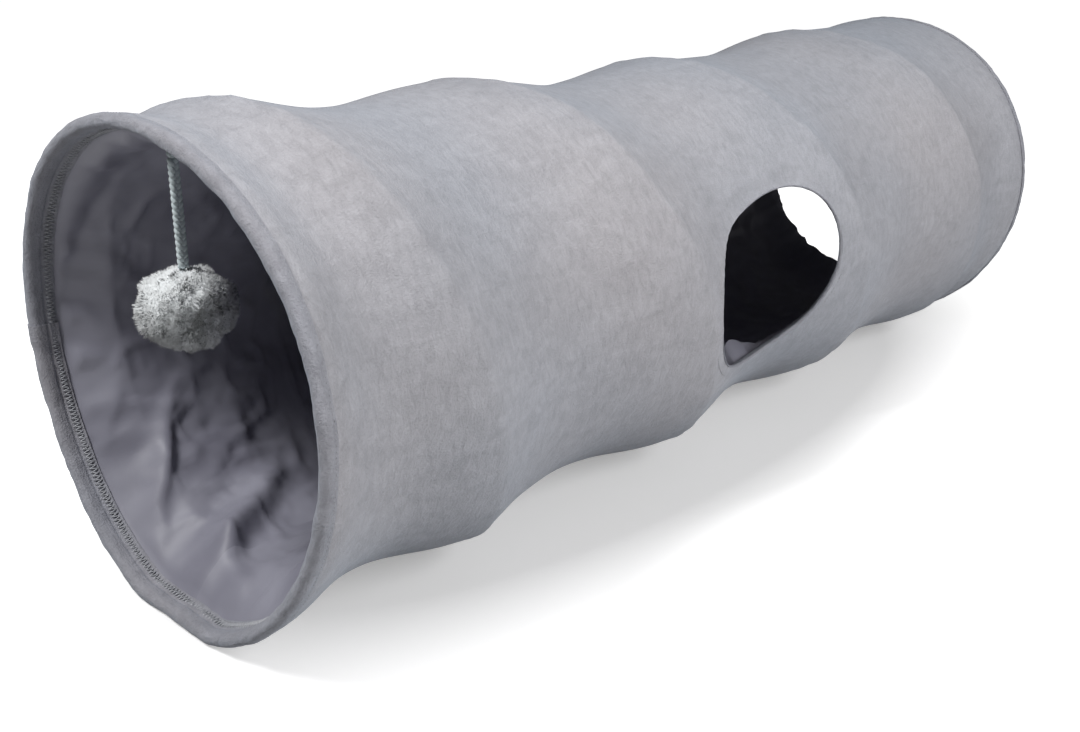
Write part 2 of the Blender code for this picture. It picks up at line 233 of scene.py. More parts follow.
def wires_at(angle):
    """Distances from the front mouth at which wire holds the cloth at this angle."""
    key = round(angle, 5)
    if key not in wires_known:
        found = [0.0]
        turn = math.ceil(-coil_nominal(angle) / coil_pitch)
        while coil_nominal(angle + 2 * math.pi * turn) < tunnel_length:
            found.append(clamp(coil_x(angle + 2 * math.pi * turn), 0.0, tunnel_length))
            turn += 1
        wires_known[key] = found + [tunnel_length]
    return wires_known[key]


def bay_at(x, angle):
    """The two wires that a point of the cloth hangs between."""
    held = wires_at(angle)
    for before, after in zip(held, held[1:]):
        if before <= x <= after and after > before:
            return before, after
    return 0.0, tunnel_length


print("wires at the top:", [round(x, 3) for x in wires_at(0.0)])

# %% [markdown]
# Now the outside surface. It has the construction's form, with two refinements that only a fine mesh can
# show. The cloth drops quickly behind each wire and comes up gently to the next, because the slanting wire
# pushes it forwards. And it has the soft unevenness of cloth that has been folded flat and pulled open
# again.

# %% The outside of the tunnel
fall_power = 0.92
near_ridge_power = 1.3
next_ridge_power = 1.55
unevenness = 0.0013
unevenness_scale = 13.0
pucker_depth = 0.0005
pucker_scale = 75.0
pucker_stretch = 0.25
pucker_reach = 0.016
wire_crest = 0.0009
wire_crest_reach = 0.0045
hem_seam_depth = 0.0007
hem_seam_reach = 0.0016


def mouth_share(distance):
    return near(distance, mouth_reach)


def mouth_distance(x):
    """How far a place is from the mouth that is nearer to it."""
    return min(x, tunnel_length - x)


def between_mouths(front, rear, x):
    return front + (rear - front) * x / tunnel_length


def cloth_noise(x, angle, scale, seed):
    """Smooth noise on the tunnel's surface, without a seam, between about -0.5 and 0.5."""
    return noise.noise(Vector((
        x * scale + seed,
        tunnel_radius * math.sin(angle) * scale,
        tunnel_radius * math.cos(angle) * scale,
    )))


def outside_radius(x, angle):
    up = max(math.cos(angle), 0.0)
    down = max(-math.cos(angle), 0.0)
    body = tunnel_radius + saddle_rise * math.cos(2 * math.pi * x / tunnel_length) * up
    front = tunnel_radius + front_mouth_oval * math.cos(2 * (angle - front_mouth_oval_angle))
    front += front_mouth_lobes * math.cos(3 * (angle - front_mouth_lobes_angle))
    front_share = mouth_share(x)
    rear_share = mouth_share(tunnel_length - x)
    body += front_share * (front - body)
    body += rear_share * (tunnel_radius + rear_mouth_flare - body)
    before, after = bay_at(x, angle)
    run = clamp((x - before) / (after - before))
    arch = max(math.sin(math.pi * run ** fall_power), 0.0)
    arch **= near_ridge_power + (next_ridge_power - near_ridge_power) * run
    drawn = between_mouths(front_top_sag, rear_top_sag, x) * up
    drawn += between_mouths(front_side_draw, rear_side_draw, x) * math.sin(angle) ** 2
    drawn += between_mouths(front_under_draw, rear_under_draw, x) * down
    drawn *= arch
    slack = ((after - before) / coil_pitch) ** sag_power
    return body - slack * drawn * (1.0 - near(mouth_distance(x), hem_hold))


def wall_point(x, angle, inset):
    """A place on the wall, pressed flat where it would reach below the floor."""
    radius = outside_radius(x, angle) - inset
    height = axis_height + front_mouth_lift * mouth_share(x)
    height += rear_mouth_lift * mouth_share(tunnel_length - x)
    z = max(height + radius * math.cos(angle), inset, 0.0)
    tilt = math.tan(front_mouth_tilt) * mouth_share(x) * (z - axis_height)
    return Vector((front_x + x + tilt, -radius * math.sin(angle), z))


def cloth_relief(x, angle):
    """How far the suede stands off that form: unevenness, the wire's crest, puckers, and the hem's seam."""
    before, after = bay_at(x, angle)
    nearest = before if x - before < after - x else after
    free = clamp(mouth_distance(x) / mouth_reach)
    relief = unevenness * 2 * cloth_noise(x, angle, unevenness_scale, 3.0) * free
    if nearest not in (0.0, tunnel_length):
        relief += wire_crest * near(x - nearest, wire_crest_reach) * free
        pucker = cloth_noise(x * pucker_stretch, angle, pucker_scale, 8.0)
        relief += pucker_depth * 2 * pucker * near(x - nearest, pucker_reach) * free
    return relief - hem_seam_depth * near(mouth_distance(x) - hem_outer_width, hem_seam_reach)


top_middle = wall_point(tunnel_length / 2, 0.0, 0.0)
print("outside at the middle of the top:", [round(value, 4) for value in top_middle])

# %% [markdown]
# The peephole is an egg-shaped hole between two turns. Its outline is a circle with a little of a two-sided
# and a three-sided wave, laid on the wall. Several pieces need it: the hole itself, its turned edge and its
# stitching.

# %% The peephole's outline
peephole_angle = math.radians(88.9)
peephole_setback = 0.0211
peephole_radius = 0.0785
peephole_oval = 0.0062
peephole_oval_angle = math.radians(-14.1)
peephole_lobes = 0.0035
peephole_lobes_angle = math.radians(-51.0)
facing_width = 0.010
peephole_middle = coil_x(peephole_angle + 2 * math.pi) + peephole_setback + peephole_radius


def peephole_reach(turn):
    """The hole's radius in one direction, turned from along the tunnel towards the floor."""
    reach = peephole_radius + peephole_oval * math.cos(2 * (turn - peephole_oval_angle))
    return reach + peephole_lobes * math.cos(3 * (turn - peephole_lobes_angle))


def peephole_spot(turn, grow):
    """Distance from the front mouth and angle of a point of the outline, let out by grow."""
    reach = peephole_reach(turn) + grow
    return peephole_middle + reach * math.cos(turn), peephole_angle + reach * math.sin(turn) / tunnel_radius


def beyond_peephole(x, angle):
    """How far a point of the wall lies outside the hole's edge, negative inside the hole."""
    along = x - peephole_middle
    arc = math.remainder(angle - peephole_angle, 2 * math.pi) * tunnel_radius
    return math.hypot(along, arc) - peephole_reach(math.atan2(arc, along))


peephole_press_share = 0.62
peephole_press_reach = 0.011
mouth_press_share = 0.12
mouth_press_reach = 0.014


def pressed(inset, x, angle):
    """How deep a layer lies, when stitches press the layers together beside the peephole and the mouths."""
    hole = peephole_press_share * near(max(beyond_peephole(x, angle), 0.0), peephole_press_reach)
    mouth = mouth_press_share * near(max(mouth_distance(x), 0.0), mouth_press_reach)
    return inset * (1.0 - max(hole, mouth))


print("peephole", round(2 * peephole_radius, 3), "m across,", round(peephole_middle, 3), "m from the mouth")

# %% [markdown]
# The toy's cord is settled before the cloth, because a hanging cord shows at once if it is too long or too
# stiff. It leaves a small tack under the hem, hangs straight down with the pom-pom's weight, and ends in a
# knot inside the pom-pom. It is a plait of three soft strands: each one swings from side to side and from
# front to back as it runs.

# %% The plaited cord
toy_pivot = Vector((-0.41655, -0.0117, 0.2873))
tack_radius = 0.0032
cord_drop = 0.060
cord_points = 22
knot_radius = 0.0045
plait_pitch = 0.0105
strand_radius = 0.0015
strand_sway = 0.0018
strand_swell = 0.0008
strand_steps = 140
strand_sides = 10


def below(place, drop):
    return place - Vector((0.0, 0.0, drop))


cord_top = below(toy_pivot, tack_radius + seat_gap)
cord_route = [below(cord_top, cord_drop * step / (cord_points - 1)) for step in range(cord_points)]


def strand_offset(drop, strand):
    """How far one strand of the plait is from the cord's middle, after some distance down."""
    turn = 2 * math.pi * (drop / plait_pitch + strand / 3)
    return Vector((strand_sway * math.sin(turn), strand_swell * math.sin(2 * turn), 0.0))


def tube_mesh(name, rails, radii, sides, closed=False):
    """A round tube along each rail, with one radius for each of its points and with closed ends."""
    shape = bmesh.new()
    for rail, sizes in zip(rails, radii):
        side = Vector((0.0, 0.0, 1.0)).cross(rail[1] - rail[0])
        if side.length < 1e-7:
            side = Vector((1.0, 0.0, 0.0))
        rings = []
        for count, middle in enumerate(rail):
            after = rail[(count + 1) % len(rail)] if closed or count + 1 < len(rail) else middle
            before = rail[count - 1] if closed or count else middle
            run = (after - before).normalized()
            side = (side - run * side.dot(run)).normalized()
            other = run.cross(side)
            ring = []
            for turn in turns(sides):
                offset = side * math.cos(turn) + other * math.sin(turn)
                ring.append(shape.verts.new(middle + offset * sizes[count]))
            rings.append(ring)
        bridge(shape, rings, closed)
    piece = mesh_piece(name, shape)
    piece.data.shade_smooth()
    return piece


strands = []
for strand in range(3):
    drops = [cord_drop * step / (strand_steps - 1) for step in range(strand_steps)]
    strands.append([below(cord_top, drop) + strand_offset(drop, strand) for drop in drops])
plaited_cord = tube_mesh("plaited_cord", strands, [[strand_radius] * strand_steps] * 3, strand_sides)
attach(plaited_cord, "toy")
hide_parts("toy_cord")
print("cord", cord_drop, "m long,", len(plaited_cord.data.vertices), "points")

# %% [markdown]
# Finishes are built from nodes, and their maths reads better as Python. A Signal wraps one socket, so that
# a sum or a product of signals adds its own Math node. A Finish is one material with one Principled shader,
# and its add method is the only way that any other node gets in.


# %% Signals and finishes
class Signal:
    """One value in a material, which can be added to, taken from and multiplied."""

    def __init__(self, finish, socket):
        self.finish = finish
        self.socket = socket

    def maths(self, operation, first, second):
        return self.finish.add("ShaderNodeMath", {"operation": operation}, {0: first, 1: second})

    def __add__(self, other):
        return self.maths("ADD", self, other)

    def __radd__(self, other):
        return self.maths("ADD", other, self)

    def __sub__(self, other):
        return self.maths("SUBTRACT", self, other)

    def __rsub__(self, other):
        return self.maths("SUBTRACT", other, self)

    def __mul__(self, other):
        return self.maths("MULTIPLY", self, other)

    def __rmul__(self, other):
        return self.maths("MULTIPLY", other, self)


class Finish:
    """A material with one Principled shader."""

    def __init__(self, name, **settings):
        """Settings are named after the shader's inputs, such as sheen_weight for Sheen Weight."""
        self.material = bpy.data.materials.new(name)
        self.material.use_nodes = True
        self.tree = self.material.node_tree
        self.shader = self.tree.nodes["Principled BSDF"]
        for setting, value in settings.items():
            self.shader.inputs[setting.replace("_", " ").title()].default_value = value

    def feed(self, socket, value):
        if isinstance(value, Signal):
            self.tree.links.new(value.socket, socket)
        else:
            socket.default_value = value

    def add(self, kind, settings=None, values=None, output=0):
        """Adds a node, sets its settings and then its sockets, and returns one of its outputs as a signal."""
        node = self.tree.nodes.new(kind)
        for name, setting in (settings or {}).items():
            if name == "stops":
                for stop, (place, colour) in zip(node.color_ramp.elements, setting):
                    stop.position = place
                    stop.color = (*colour, 1.0)
            else:
                setattr(node, name, setting)
        for name, value in (values or {}).items():
            self.feed(node.inputs[name], value)
        return Signal(self, node.outputs[output])

    def places(self, coordinates="UV", scale=(1.0, 1.0, 1.0), turn=0.0):
        """Places on the piece in metres: its own cloth (UV) or its own space (Object)."""
        where = self.add("ShaderNodeTexCoord", output=coordinates)
        values = {"Vector": where, "Scale": scale, "Rotation": (0.0, 0.0, turn)}
        return self.add("ShaderNodeMapping", values=values)

    def clouds(self, where, scale, detail=2.0, roughness=0.5, distortion=0.0, kind="FBM", spread=None):
        """Noise with its scale in features per metre; a spread is how much beside its middle is kept."""
        values = {"Vector": where, "Scale": scale, "Detail": detail, "Roughness": roughness}
        values["Distortion"] = distortion
        noise_signal = self.add("ShaderNodeTexNoise", {"noise_type": kind, "normalize": True}, values)
        return self.stretch(noise_signal, 0.5 - spread, 0.5 + spread) if spread else noise_signal

    def opaque(self, value):
        return value if isinstance(value, Signal) else (*value, 1.0)

    def between(self, share, first, second):
        """A colour between two, by a share."""
        values = {0: share, 6: self.opaque(first), 7: self.opaque(second)}
        return self.add("ShaderNodeMix", {"data_type": "RGBA"}, values, output=2)

    def stretch(self, signal, low, high):
        """Spreads the part of a signal from low to high over 0 to 1."""
        return self.add("ShaderNodeMapRange", {"clamp": True}, {0: signal, 1: low, 2: high, 3: 0.0, 4: 1.0})

    def colour(self, value):
        self.feed(self.shader.inputs["Base Color"], self.opaque(value))

    def roughness(self, value):
        self.feed(self.shader.inputs["Roughness"], value)

    def relief(self, height, depth, strength=1.0):
        """Bump from a height signal; depth is the height in metres of a full step of it."""
        bump = self.add("ShaderNodeBump", values={"Height": height, "Distance": depth, "Strength": strength})
        self.feed(self.shader.inputs["Normal"], bump)


# %% [markdown]
# Faux suede is a knitted cloth with a brushed nap. It has no shine, but the nap lies in patches, so it is
# mottled in three sizes: hand-wide clouds where it was stroked, thumb-wide patches, and a fine grain. The
# grey also wanders a little between cool and warm. A weak sheen lifts it where it turns away.


# %% Grey suede
def make_suede(name, light, dark, coordinates="UV", depth=0.0006):
    suede = Finish(name, sheen_weight=0.25, sheen_roughness=0.5, sheen_tint=(0.62, 0.8, 1.0, 1.0))
    cloth = suede.places(coordinates)
    strokes = suede.places(coordinates, scale=(0.5, 1.0, 1.0), turn=math.radians(24.0))
    cross = suede.places(coordinates, scale=(1.0, 0.4, 1.0), turn=math.radians(-35.0))
    wide = suede.clouds(cloth, 8.0, detail=3.0, roughness=0.6, distortion=0.5, spread=0.2)
    patches = suede.clouds(strokes, 70.0, detail=6.0, roughness=0.7, distortion=0.9, spread=0.18)
    scratches = suede.clouds(cross, 210.0, detail=4.0, roughness=0.75, distortion=0.8, spread=0.14)
    grain = suede.clouds(cloth, 700.0, detail=3.0, roughness=0.7, spread=0.2)
    tone = wide * 0.14 + patches * 0.3 + scratches * 0.3 + grain * 0.26
    cool = suede.between(tone, dark, light)
    warm_dark = (dark[0] * 1.05, dark[1], dark[2] * 0.965)
    warm_light = (light[0] * 1.035, light[1], light[2] * 0.975)
    warm = suede.between(tone, warm_dark, warm_light)
    drift = suede.clouds(cloth, 5.0, detail=1.0, spread=0.15)
    suede.colour(suede.between(drift, cool, warm))
    suede.roughness(0.97 - tone * 0.12)
    suede.relief(patches * 0.2 + scratches * 0.4 + grain * 0.4, depth)
    return suede.material


suede = make_suede("grey_suede", light=(0.56, 0.565, 0.61), dark=(0.31, 0.31, 0.34))
# A darker copy of the grey suede for the bindings, the peephole's lip and the tab: the extra darkness is
# painted shade for the hems' shaded rolls.
hem_suede_painted_shade = make_suede("hem_suede_painted_shade", light=(0.46, 0.468, 0.52), dark=(0.25, 0.252, 0.285), depth=0.0008)
print("suede has", len(suede.node_tree.nodes), "nodes")

# %% [markdown]
# The lining is a thin satin, dark violet grey. Its threads float, so it has a broad soft gloss that jumps
# from fold to fold. Fine creases, too small for the mesh, are left in it by the folded storage, so they go
# into the bump.


# %% Dark satin
satin_dark = (0.21, 0.207, 0.256)
satin_light = (0.34, 0.338, 0.40)


def make_satin():
    satin = Finish("dark_satin", sheen_weight=0.03, sheen_roughness=0.35)
    cloth = satin.places()
    creases = satin.clouds(cloth, 26.0, roughness=0.45, distortion=1.2, kind="RIDGED_MULTIFRACTAL")
    dye = satin.clouds(cloth, 14.0, spread=0.2)
    threads = satin.add(
        "ShaderNodeTexWave", {"wave_type": "BANDS", "bands_direction": "DIAGONAL"},
        {"Vector": cloth, "Scale": 700.0, "Distortion": 0.6, "Detail": 1.0}, output=1,
    )
    satin.colour(satin.between(dye, satin_dark, satin_light))
    satin.roughness(0.42 + dye * 0.1 + threads * 0.04)
    satin.relief(creases * 0.8 + threads * 0.02, 0.003, strength=0.45)
    return satin.material


satin = make_satin()
print("satin has", len(satin.node_tree.nodes), "nodes")

# %% [markdown]
# The small stuff: sewing thread, the plait's soft yarn, the pom-pom's fibre, the crackling film, the
# binding tape and the spring wire. Each gets a grain of its own, at the size of its threads or scratches.


# %% Threads, yarn, film, tape and wire
def make_thread(name, light, dark):
    thread = Finish(name, roughness=0.6, sheen_weight=0.25)
    fibres = thread.clouds(thread.places("Object"), 1400.0)
    thread.colour(thread.between(thread.stretch(fibres, 0.3, 0.7), dark, light))
    thread.relief(fibres, 0.0002)
    return thread.material


def make_yarn(name, tip, root):
    """Soft yarn with painted shade: darker deep inside, by the depth attribute of its fibres."""
    yarn = Finish(name, roughness=0.95, sheen_weight=0.35)
    # The depth attribute is painted shade: the deeper a point lies, the nearer its colour is to the root
    # colour.
    depth = yarn.add("ShaderNodeAttribute", {"attribute_name": "depth"}, output=2)
    tufts = yarn.clouds(yarn.places("Object"), 260.0, spread=0.2)
    yarn.colour(yarn.between(depth * 0.8 + tufts * 0.2, tip, root))
    yarn.relief(tufts, 0.0003)
    return yarn.material


def make_film():
    film = Finish("crackling_film", roughness=0.25)
    creases = film.clouds(film.places(), 60.0, detail=3.0, kind="RIDGED_MULTIFRACTAL")
    film.colour(film.between(film.stretch(creases, 0.3, 0.8), (0.62, 0.63, 0.66), (0.8, 0.81, 0.83)))
    film.relief(creases, 0.002)
    return film.material


def make_tape():
    tape = Finish("binding_tape", roughness=0.85, sheen_weight=0.1)
    squares = {"Vector": tape.places("Object"), "Scale": 1600.0}
    weave = tape.add("ShaderNodeTexChecker", values=squares, output=1)
    tape.colour(tape.between(weave, (0.18, 0.18, 0.2), (0.24, 0.24, 0.27)))
    tape.relief(weave, 0.0002)
    return tape.material


def make_wire_finish(name, colour, roughness):
    wire = Finish(name, metallic=1.0)
    draw_marks = wire.clouds(wire.places("Object"), 900.0, detail=3.0)
    wire.colour(wire.between(draw_marks, colour, tuple(0.8 * part for part in colour)))
    wire.roughness(roughness + draw_marks * 0.2)
    return wire.material


thread = make_thread("pale_thread", light=(0.62, 0.63, 0.66), dark=(0.36, 0.37, 0.4))
quiet_thread = make_thread("suede_thread", light=(0.42, 0.425, 0.455), dark=(0.28, 0.285, 0.31))
cord_yarn = make_yarn("plait_yarn", tip=(0.62, 0.7, 0.72), root=(0.38, 0.44, 0.46))
# The pom-pom's root colour is painted shade for the inside of the ball.
pompom_yarn = make_yarn("pompom_yarn", tip=(0.93, 0.95, 0.96), root=(0.82, 0.86, 0.87))
film_finish = make_film()
tape_finish = make_tape()
spring_steel = make_wire_finish("spring_steel", colour=(0.56, 0.57, 0.6), roughness=0.3)
crimp_metal = make_wire_finish("crimp_metal", colour=(0.7, 0.7, 0.72), roughness=0.4)
for part, finish in (("hoop", spring_steel), ("ferrule", crimp_metal)):
    for end in ("front", "rear"):
        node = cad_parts[end + "_" + part]
        node.data.materials.clear()
        node.data.materials.append(finish)
plaited_cord.data.materials.append(cord_yarn)
print("finishes:", len(bpy.data.materials))

# %% [markdown]
# Cloth starts flat. A grid is the cut sheet, with its map in metres, and every point is carried to its
# place on the tunnel. The long edges meet underneath, where such tunnels have their seam, and are sewn by
# merging their points.


# %% Helpers for cloth
around = 2 * math.pi * tunnel_radius
sewn_below = 0.00002


def seam_angle(share):
    """An angle round the tunnel, starting and ending at the seam underneath."""
    return -math.pi + 2 * math.pi * share


def only(piece):
    """Selects one piece and nothing else."""
    bpy.ops.object.select_all(action="DESELECT")
    piece.select_set(True)
    bpy.context.view_layer.objects.active = piece
    return piece


def rolled_sheet(name, columns, rows, size, place, finish):
    """A flat sheet of size (along, around), carried point by point to place(share along, share around)."""
    grid = {"x_subdivisions": columns, "y_subdivisions": rows, "size": 2.0}
    sheet = primitive(name, bpy.ops.mesh.primitive_grid_add, **grid)
    for corner in sheet.data.vertices:
        corner.co = place((corner.co.x + 1.0) / 2.0, (corner.co.y + 1.0) / 2.0)
    for loop in sheet.data.uv_layers.active.data:
        loop.uv = (loop.uv[0] * size[0], loop.uv[1] * size[1])
    bpy.ops.object.mode_set(mode="EDIT")
    bpy.ops.mesh.select_all(action="SELECT")
    bpy.ops.mesh.remove_doubles(threshold=sewn_below)
    bpy.ops.mesh.select_all(action="DESELECT")
    bpy.ops.object.mode_set(mode="OBJECT")
    sheet.data.materials.append(finish)
    return sheet


def turn_faces(sheet, face, outward):
    """Turns a sheet's faces over, unless the given face looks the way that outward points."""
    if face.normal.dot(outward) < 0:
        sheet.data.flip_normals()


def face_nearest(sheet, x):
    """The face whose middle is nearest to one place along the tunnel."""
    return min(sheet.data.polygons, key=lambda face: abs(face.center.x - x))


def face_outwards(sheet):
    """Turns a tube's faces away from its axis, if they look at it."""
    face = sheet.data.polygons[0]
    turn_faces(sheet, face, Vector((0.0, face.center.y, face.center.z - axis_height)))


def apply_modifier(piece, kind, **settings):
    """Adds a modifier to a piece, sets it, and keeps its result as the piece's mesh."""
    only(piece)
    modifier = piece.modifiers.new(kind.lower(), kind)
    for name, setting in settings.items():
        setattr(modifier, name, setting)
    bpy.ops.object.modifier_apply(modifier=modifier.name)


def thicken(sheet, thickness, offset=-1.0):
    apply_modifier(sheet, "SOLIDIFY", thickness=thickness, offset=offset)


def open_peephole(sheet, setback, seat, grow):
    """Takes the peephole out of a rolled sheet, and draws the new edge onto the outline."""
    cloth = bmesh.new()
    cloth.from_mesh(sheet.data)
    places = cloth.loops.layers.uv.active
    run = tunnel_length - 2 * setback

    def spot(loop):
        return setback + loop[places].uv.x / tunnel_length * run, seam_angle(loop[places].uv.y / around)

    def in_hole(face):
        return sum(beyond_peephole(*spot(loop)) for loop in face.loops) < 4 * grow

    bmesh.ops.delete(cloth, geom=[face for face in cloth.faces if in_hole(face)], context="FACES")
    for corner in cloth.verts:
        x, angle = spot(corner.link_loops[0])
        if corner.is_boundary and abs(beyond_peephole(x, angle)) < peephole_radius / 2:
            turn = math.atan2((angle - peephole_angle) * tunnel_radius, x - peephole_middle)
            spot_x, spot_angle = peephole_spot(turn, grow)
            corner.co = wall_point(spot_x, spot_angle, pressed(seat, spot_x, spot_angle))
    cloth.to_mesh(sheet.data)
    cloth.free()


def smooth(piece, degrees=45.0):
    only(piece)
    bpy.ops.object.shade_smooth_by_angle(angle=math.radians(degrees))


print("once round the tunnel:", round(around, 3), "m")

# %% [markdown]
# The suede tube. Its edges run under the bound hems, 8 mm from the mouths. After the sheet is rolled onto
# the coil it gets its wall, and then the peephole is cut with a plug that follows the outline, a hair
# larger than its turned edge.

# %% The suede tube
sleeve_columns = 210
sleeve_rows = 176
sleeve_setback = hem_outer_width + seat_gap
peephole_steps = 144
plug_reach = 0.035
plug_step = 0.002
facing_thickness = 0.0008
topstitch_grow = 0.0085
topstitch_depth = 0.0007
topstitch_reach = 0.0012
lip_lift = 0.0007
lip_reach = 0.0035


def sleeve_place(along, share):
    x = sleeve_setback + (tunnel_length - 2 * sleeve_setback) * along
    angle = seam_angle(share)
    stand = cloth_relief(x, angle)
    past = beyond_peephole(x, angle)
    stand -= topstitch_depth * near(past - topstitch_grow, topstitch_reach)
    stand += lip_lift * near(past, lip_reach)
    return wall_point(x, angle, -stand)


def peephole_plug(grow, depths):
    """A plug through the wall that cuts the hole in a layer."""
    shape = bmesh.new()
    spots = [peephole_spot(turn, grow) for turn in turns(peephole_steps)]
    rings = [[shape.verts.new(wall_point(x, angle, depth)) for x, angle in spots] for depth in depths]
    bridge(shape, rings)
    bmesh.ops.recalc_face_normals(shape, faces=shape.faces)
    return mesh_piece("peephole_plug", shape)


uncut = (tunnel_length, around)
suede_tube = rolled_sheet("suede_tube", sleeve_columns, sleeve_rows, uncut, sleeve_place, suede)
face_outwards(suede_tube)
thicken(suede_tube, suede_thickness)
plug_depths = (-plug_reach, -plug_step, hem_leg_inset, hem_leg_inset + plug_reach)
plug = peephole_plug(facing_thickness + seat_gap, plug_depths)
apply_modifier(suede_tube, "BOOLEAN", operation="DIFFERENCE", object=plug)
bpy.data.objects.remove(plug)
smooth(suede_tube)
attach(suede_tube, "front")
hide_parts("outer_sleeve")
print("suede tube:", len(suede_tube.data.polygons), "faces")

# %% [markdown]
# When the rear mouth is pushed to the front one, the wall folds up like a bellows, into a stack about 6 cm
# thick. Here each soft layer only gets a mesh of its own; it is not folded.


def fold_up(piece):
    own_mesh(piece)


fold_up(suede_tube)

# %% [markdown]
# Both mouths are bound with a folded strip of suede. From outside in it is a flat leg, a soft roll over the
# hoop, a crease, and a leg on the lining that the stitches pull down. The strip goes round once and laps
# over its own start, which shows as a small step on the left of the front mouth.

# %% The bound mouths
hem_columns = 46
hem_rows = 320
lap_angle = math.radians(-94.0)
lap_length = 0.012
lap_rise = 0.0009
lap_ramp = 0.0045
roll_fullness = 0.0007
roll_middle = 0.2
crease_setback = 0.0090
crease_width = 0.0010
crease_depth = 0.0009
band_start = 0.0102
band_end = 0.0150
band_depth = 0.0006
stitch_pitch = 0.0028
stitch_tug = 0.25
hem_unevenness = 0.0007
hem_unevenness_scale = 55.0
hem_grain = 0.6 * hem_unevenness
hem_grain_scale = 170.0
hem_seeds = {False: 2.0, True: 21.0}


def from_end(setback, from_rear):
    """The distance from the front mouth of a place that is set back from one of the mouths."""
    return tunnel_length - setback if from_rear else setback


def hem_line(share):
    """A place on the hem's section, as setback and inset, with the direction that faces outwards there."""
    leg = hem_outer_width - nose_radius
    nose = math.pi * nose_radius
    run = share * (leg + nose + hem_inner_width - nose_radius)
    if run < leg:
        return hem_outer_width - run, 0.0, 0.0, -1.0
    turn = min((run - leg) / nose_radius, math.pi)
    setback = nose_radius - nose_radius * math.sin(turn)
    if turn == math.pi:
        setback = run - leg - nose + nose_radius
        return setback, hem_inset, 0.0, 1.0
    return setback, nose_radius - nose_radius * math.cos(turn), -math.sin(turn), -math.cos(turn)


def hem_relief(setback, inset, angle, seed):
    """How far the binding stands off its section."""
    relief = roll_fullness * near(setback - roll_middle * nose_radius, nose_radius)
    relief += hem_unevenness * cloth_noise(setback + seed, angle, hem_unevenness_scale, seed)
    relief += hem_grain * cloth_noise(inset * 2.0, angle, hem_grain_scale, seed + 5.0)
    if inset > nose_radius:
        relief -= crease_depth * near(setback - crease_setback, crease_width)
        middle = (band_start + band_end) / 2
        reach = (band_end - band_start) / 2
        pull = max(1.0 - ((setback - middle) / reach) ** 2, 0.0)
        stitch_turn = 2 * math.pi * angle * tunnel_radius / (2 * stitch_pitch)
        relief -= band_depth * pull * (1.0 - stitch_tug + stitch_tug * math.cos(stitch_turn))
    return relief


def lap_share(angle_run):
    """1 on the part of the strip that lies over its own start."""
    over = (angle_run - 2 * math.pi) * tunnel_radius
    return clamp(over / lap_ramp + 1.0)


def bind_mouth(from_rear):
    end = "rear" if from_rear else "front"
    full_turn = 2 * math.pi + lap_length / tunnel_radius

    def place(along, share):
        setback, inset, across, down = hem_line(along)
        run = full_turn * share
        angle = lap_angle + run
        stand = hem_relief(setback, inset, angle, hem_seeds[from_rear]) + lap_rise * lap_share(run)
        x = from_end(setback + across * stand, from_rear)
        return wall_point(x, angle, pressed(inset, x, angle) + down * stand)

    section = hem_outer_width + hem_inner_width + (math.pi - 2) * nose_radius
    strip = (section, around + lap_length)
    binding = rolled_sheet(end + "_binding", hem_columns, hem_rows, strip, place, hem_suede_painted_shade)
    roll = face_nearest(binding, front_x + from_end(0, from_rear))
    turn_faces(binding, roll, Vector((1.0 if from_rear else -1.0, 0.0, 0.0)))
    thicken(binding, suede_thickness)
    smooth(binding, degrees=60.0)
    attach(binding, end)
    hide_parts(end + "_hem")
    print(binding.name, len(binding.data.polygons), "faces")


for from_rear in (False, True):
    bind_mouth(from_rear)

# %% [markdown]
# The stitches that hold the bindings are a wide zigzag of pale thread on the inner leg. Every stitch dives
# into the cloth at both ends, so the band glitters a little. A second, plain row runs outside, near the
# edge of the outer leg.

# %% Stitching on the mouths
thread_radius = 0.00042
thread_sides = 5
stitch_dive = 0.0004
stitch_crown = 0.00055
stitch_jitter = 0.0003
stitch_lean = 0.25
stitch_steps = 4
stitch_bluntness = 0.6
stitch_sink = 0.8
run_pitch = 0.0031
run_length = 0.0022
run_setback = 0.0064
run_thread_radius = 0.0002
run_proud = 0.9
run_shoulder = 0.7
run_end_share = 0.6
dice = random.Random(7)


def zigzag(name, from_rear):
    strokes = round(2 * math.pi * (tunnel_radius - hem_inset) / stitch_pitch) * 2
    rail = []
    for stroke in range(strokes):
        starts, ends = (band_start, band_end) if stroke % 2 == 0 else (band_end, band_start)
        starts += dice.uniform(-stitch_jitter, stitch_jitter)
        lean = dice.uniform(-stitch_lean, stitch_lean)
        for step in range(stitch_steps):
            share = step / stitch_steps
            arch = math.sin(math.pi * share)
            angle = 2 * math.pi * (stroke + share + lean * arch) / strokes
            height = (stitch_crown + stitch_dive) * arch ** stitch_bluntness - stitch_dive
            x = from_end(starts + (ends - starts) * share, from_rear)
            sunk = band_depth * stitch_sink * arch
            rail.append(wall_point(x, angle, pressed(hem_inset, x, angle) + height - sunk))
    return tube_mesh(name, [rail], [[thread_radius] * len(rail)], thread_sides, closed=True)


def running_stitches(name, places):
    """A row of short stitches, each a little arch given by its start, its middle and its end."""
    rails = []
    for start, middle, end in places:
        rails.append([start, start.lerp(middle, run_shoulder), middle, end.lerp(middle, run_shoulder), end])
    radii = [run_thread_radius * share for share in (run_end_share, 1.0, 1.0, 1.0, run_end_share)]
    return tube_mesh(name, rails, [radii] * len(rails), thread_sides)


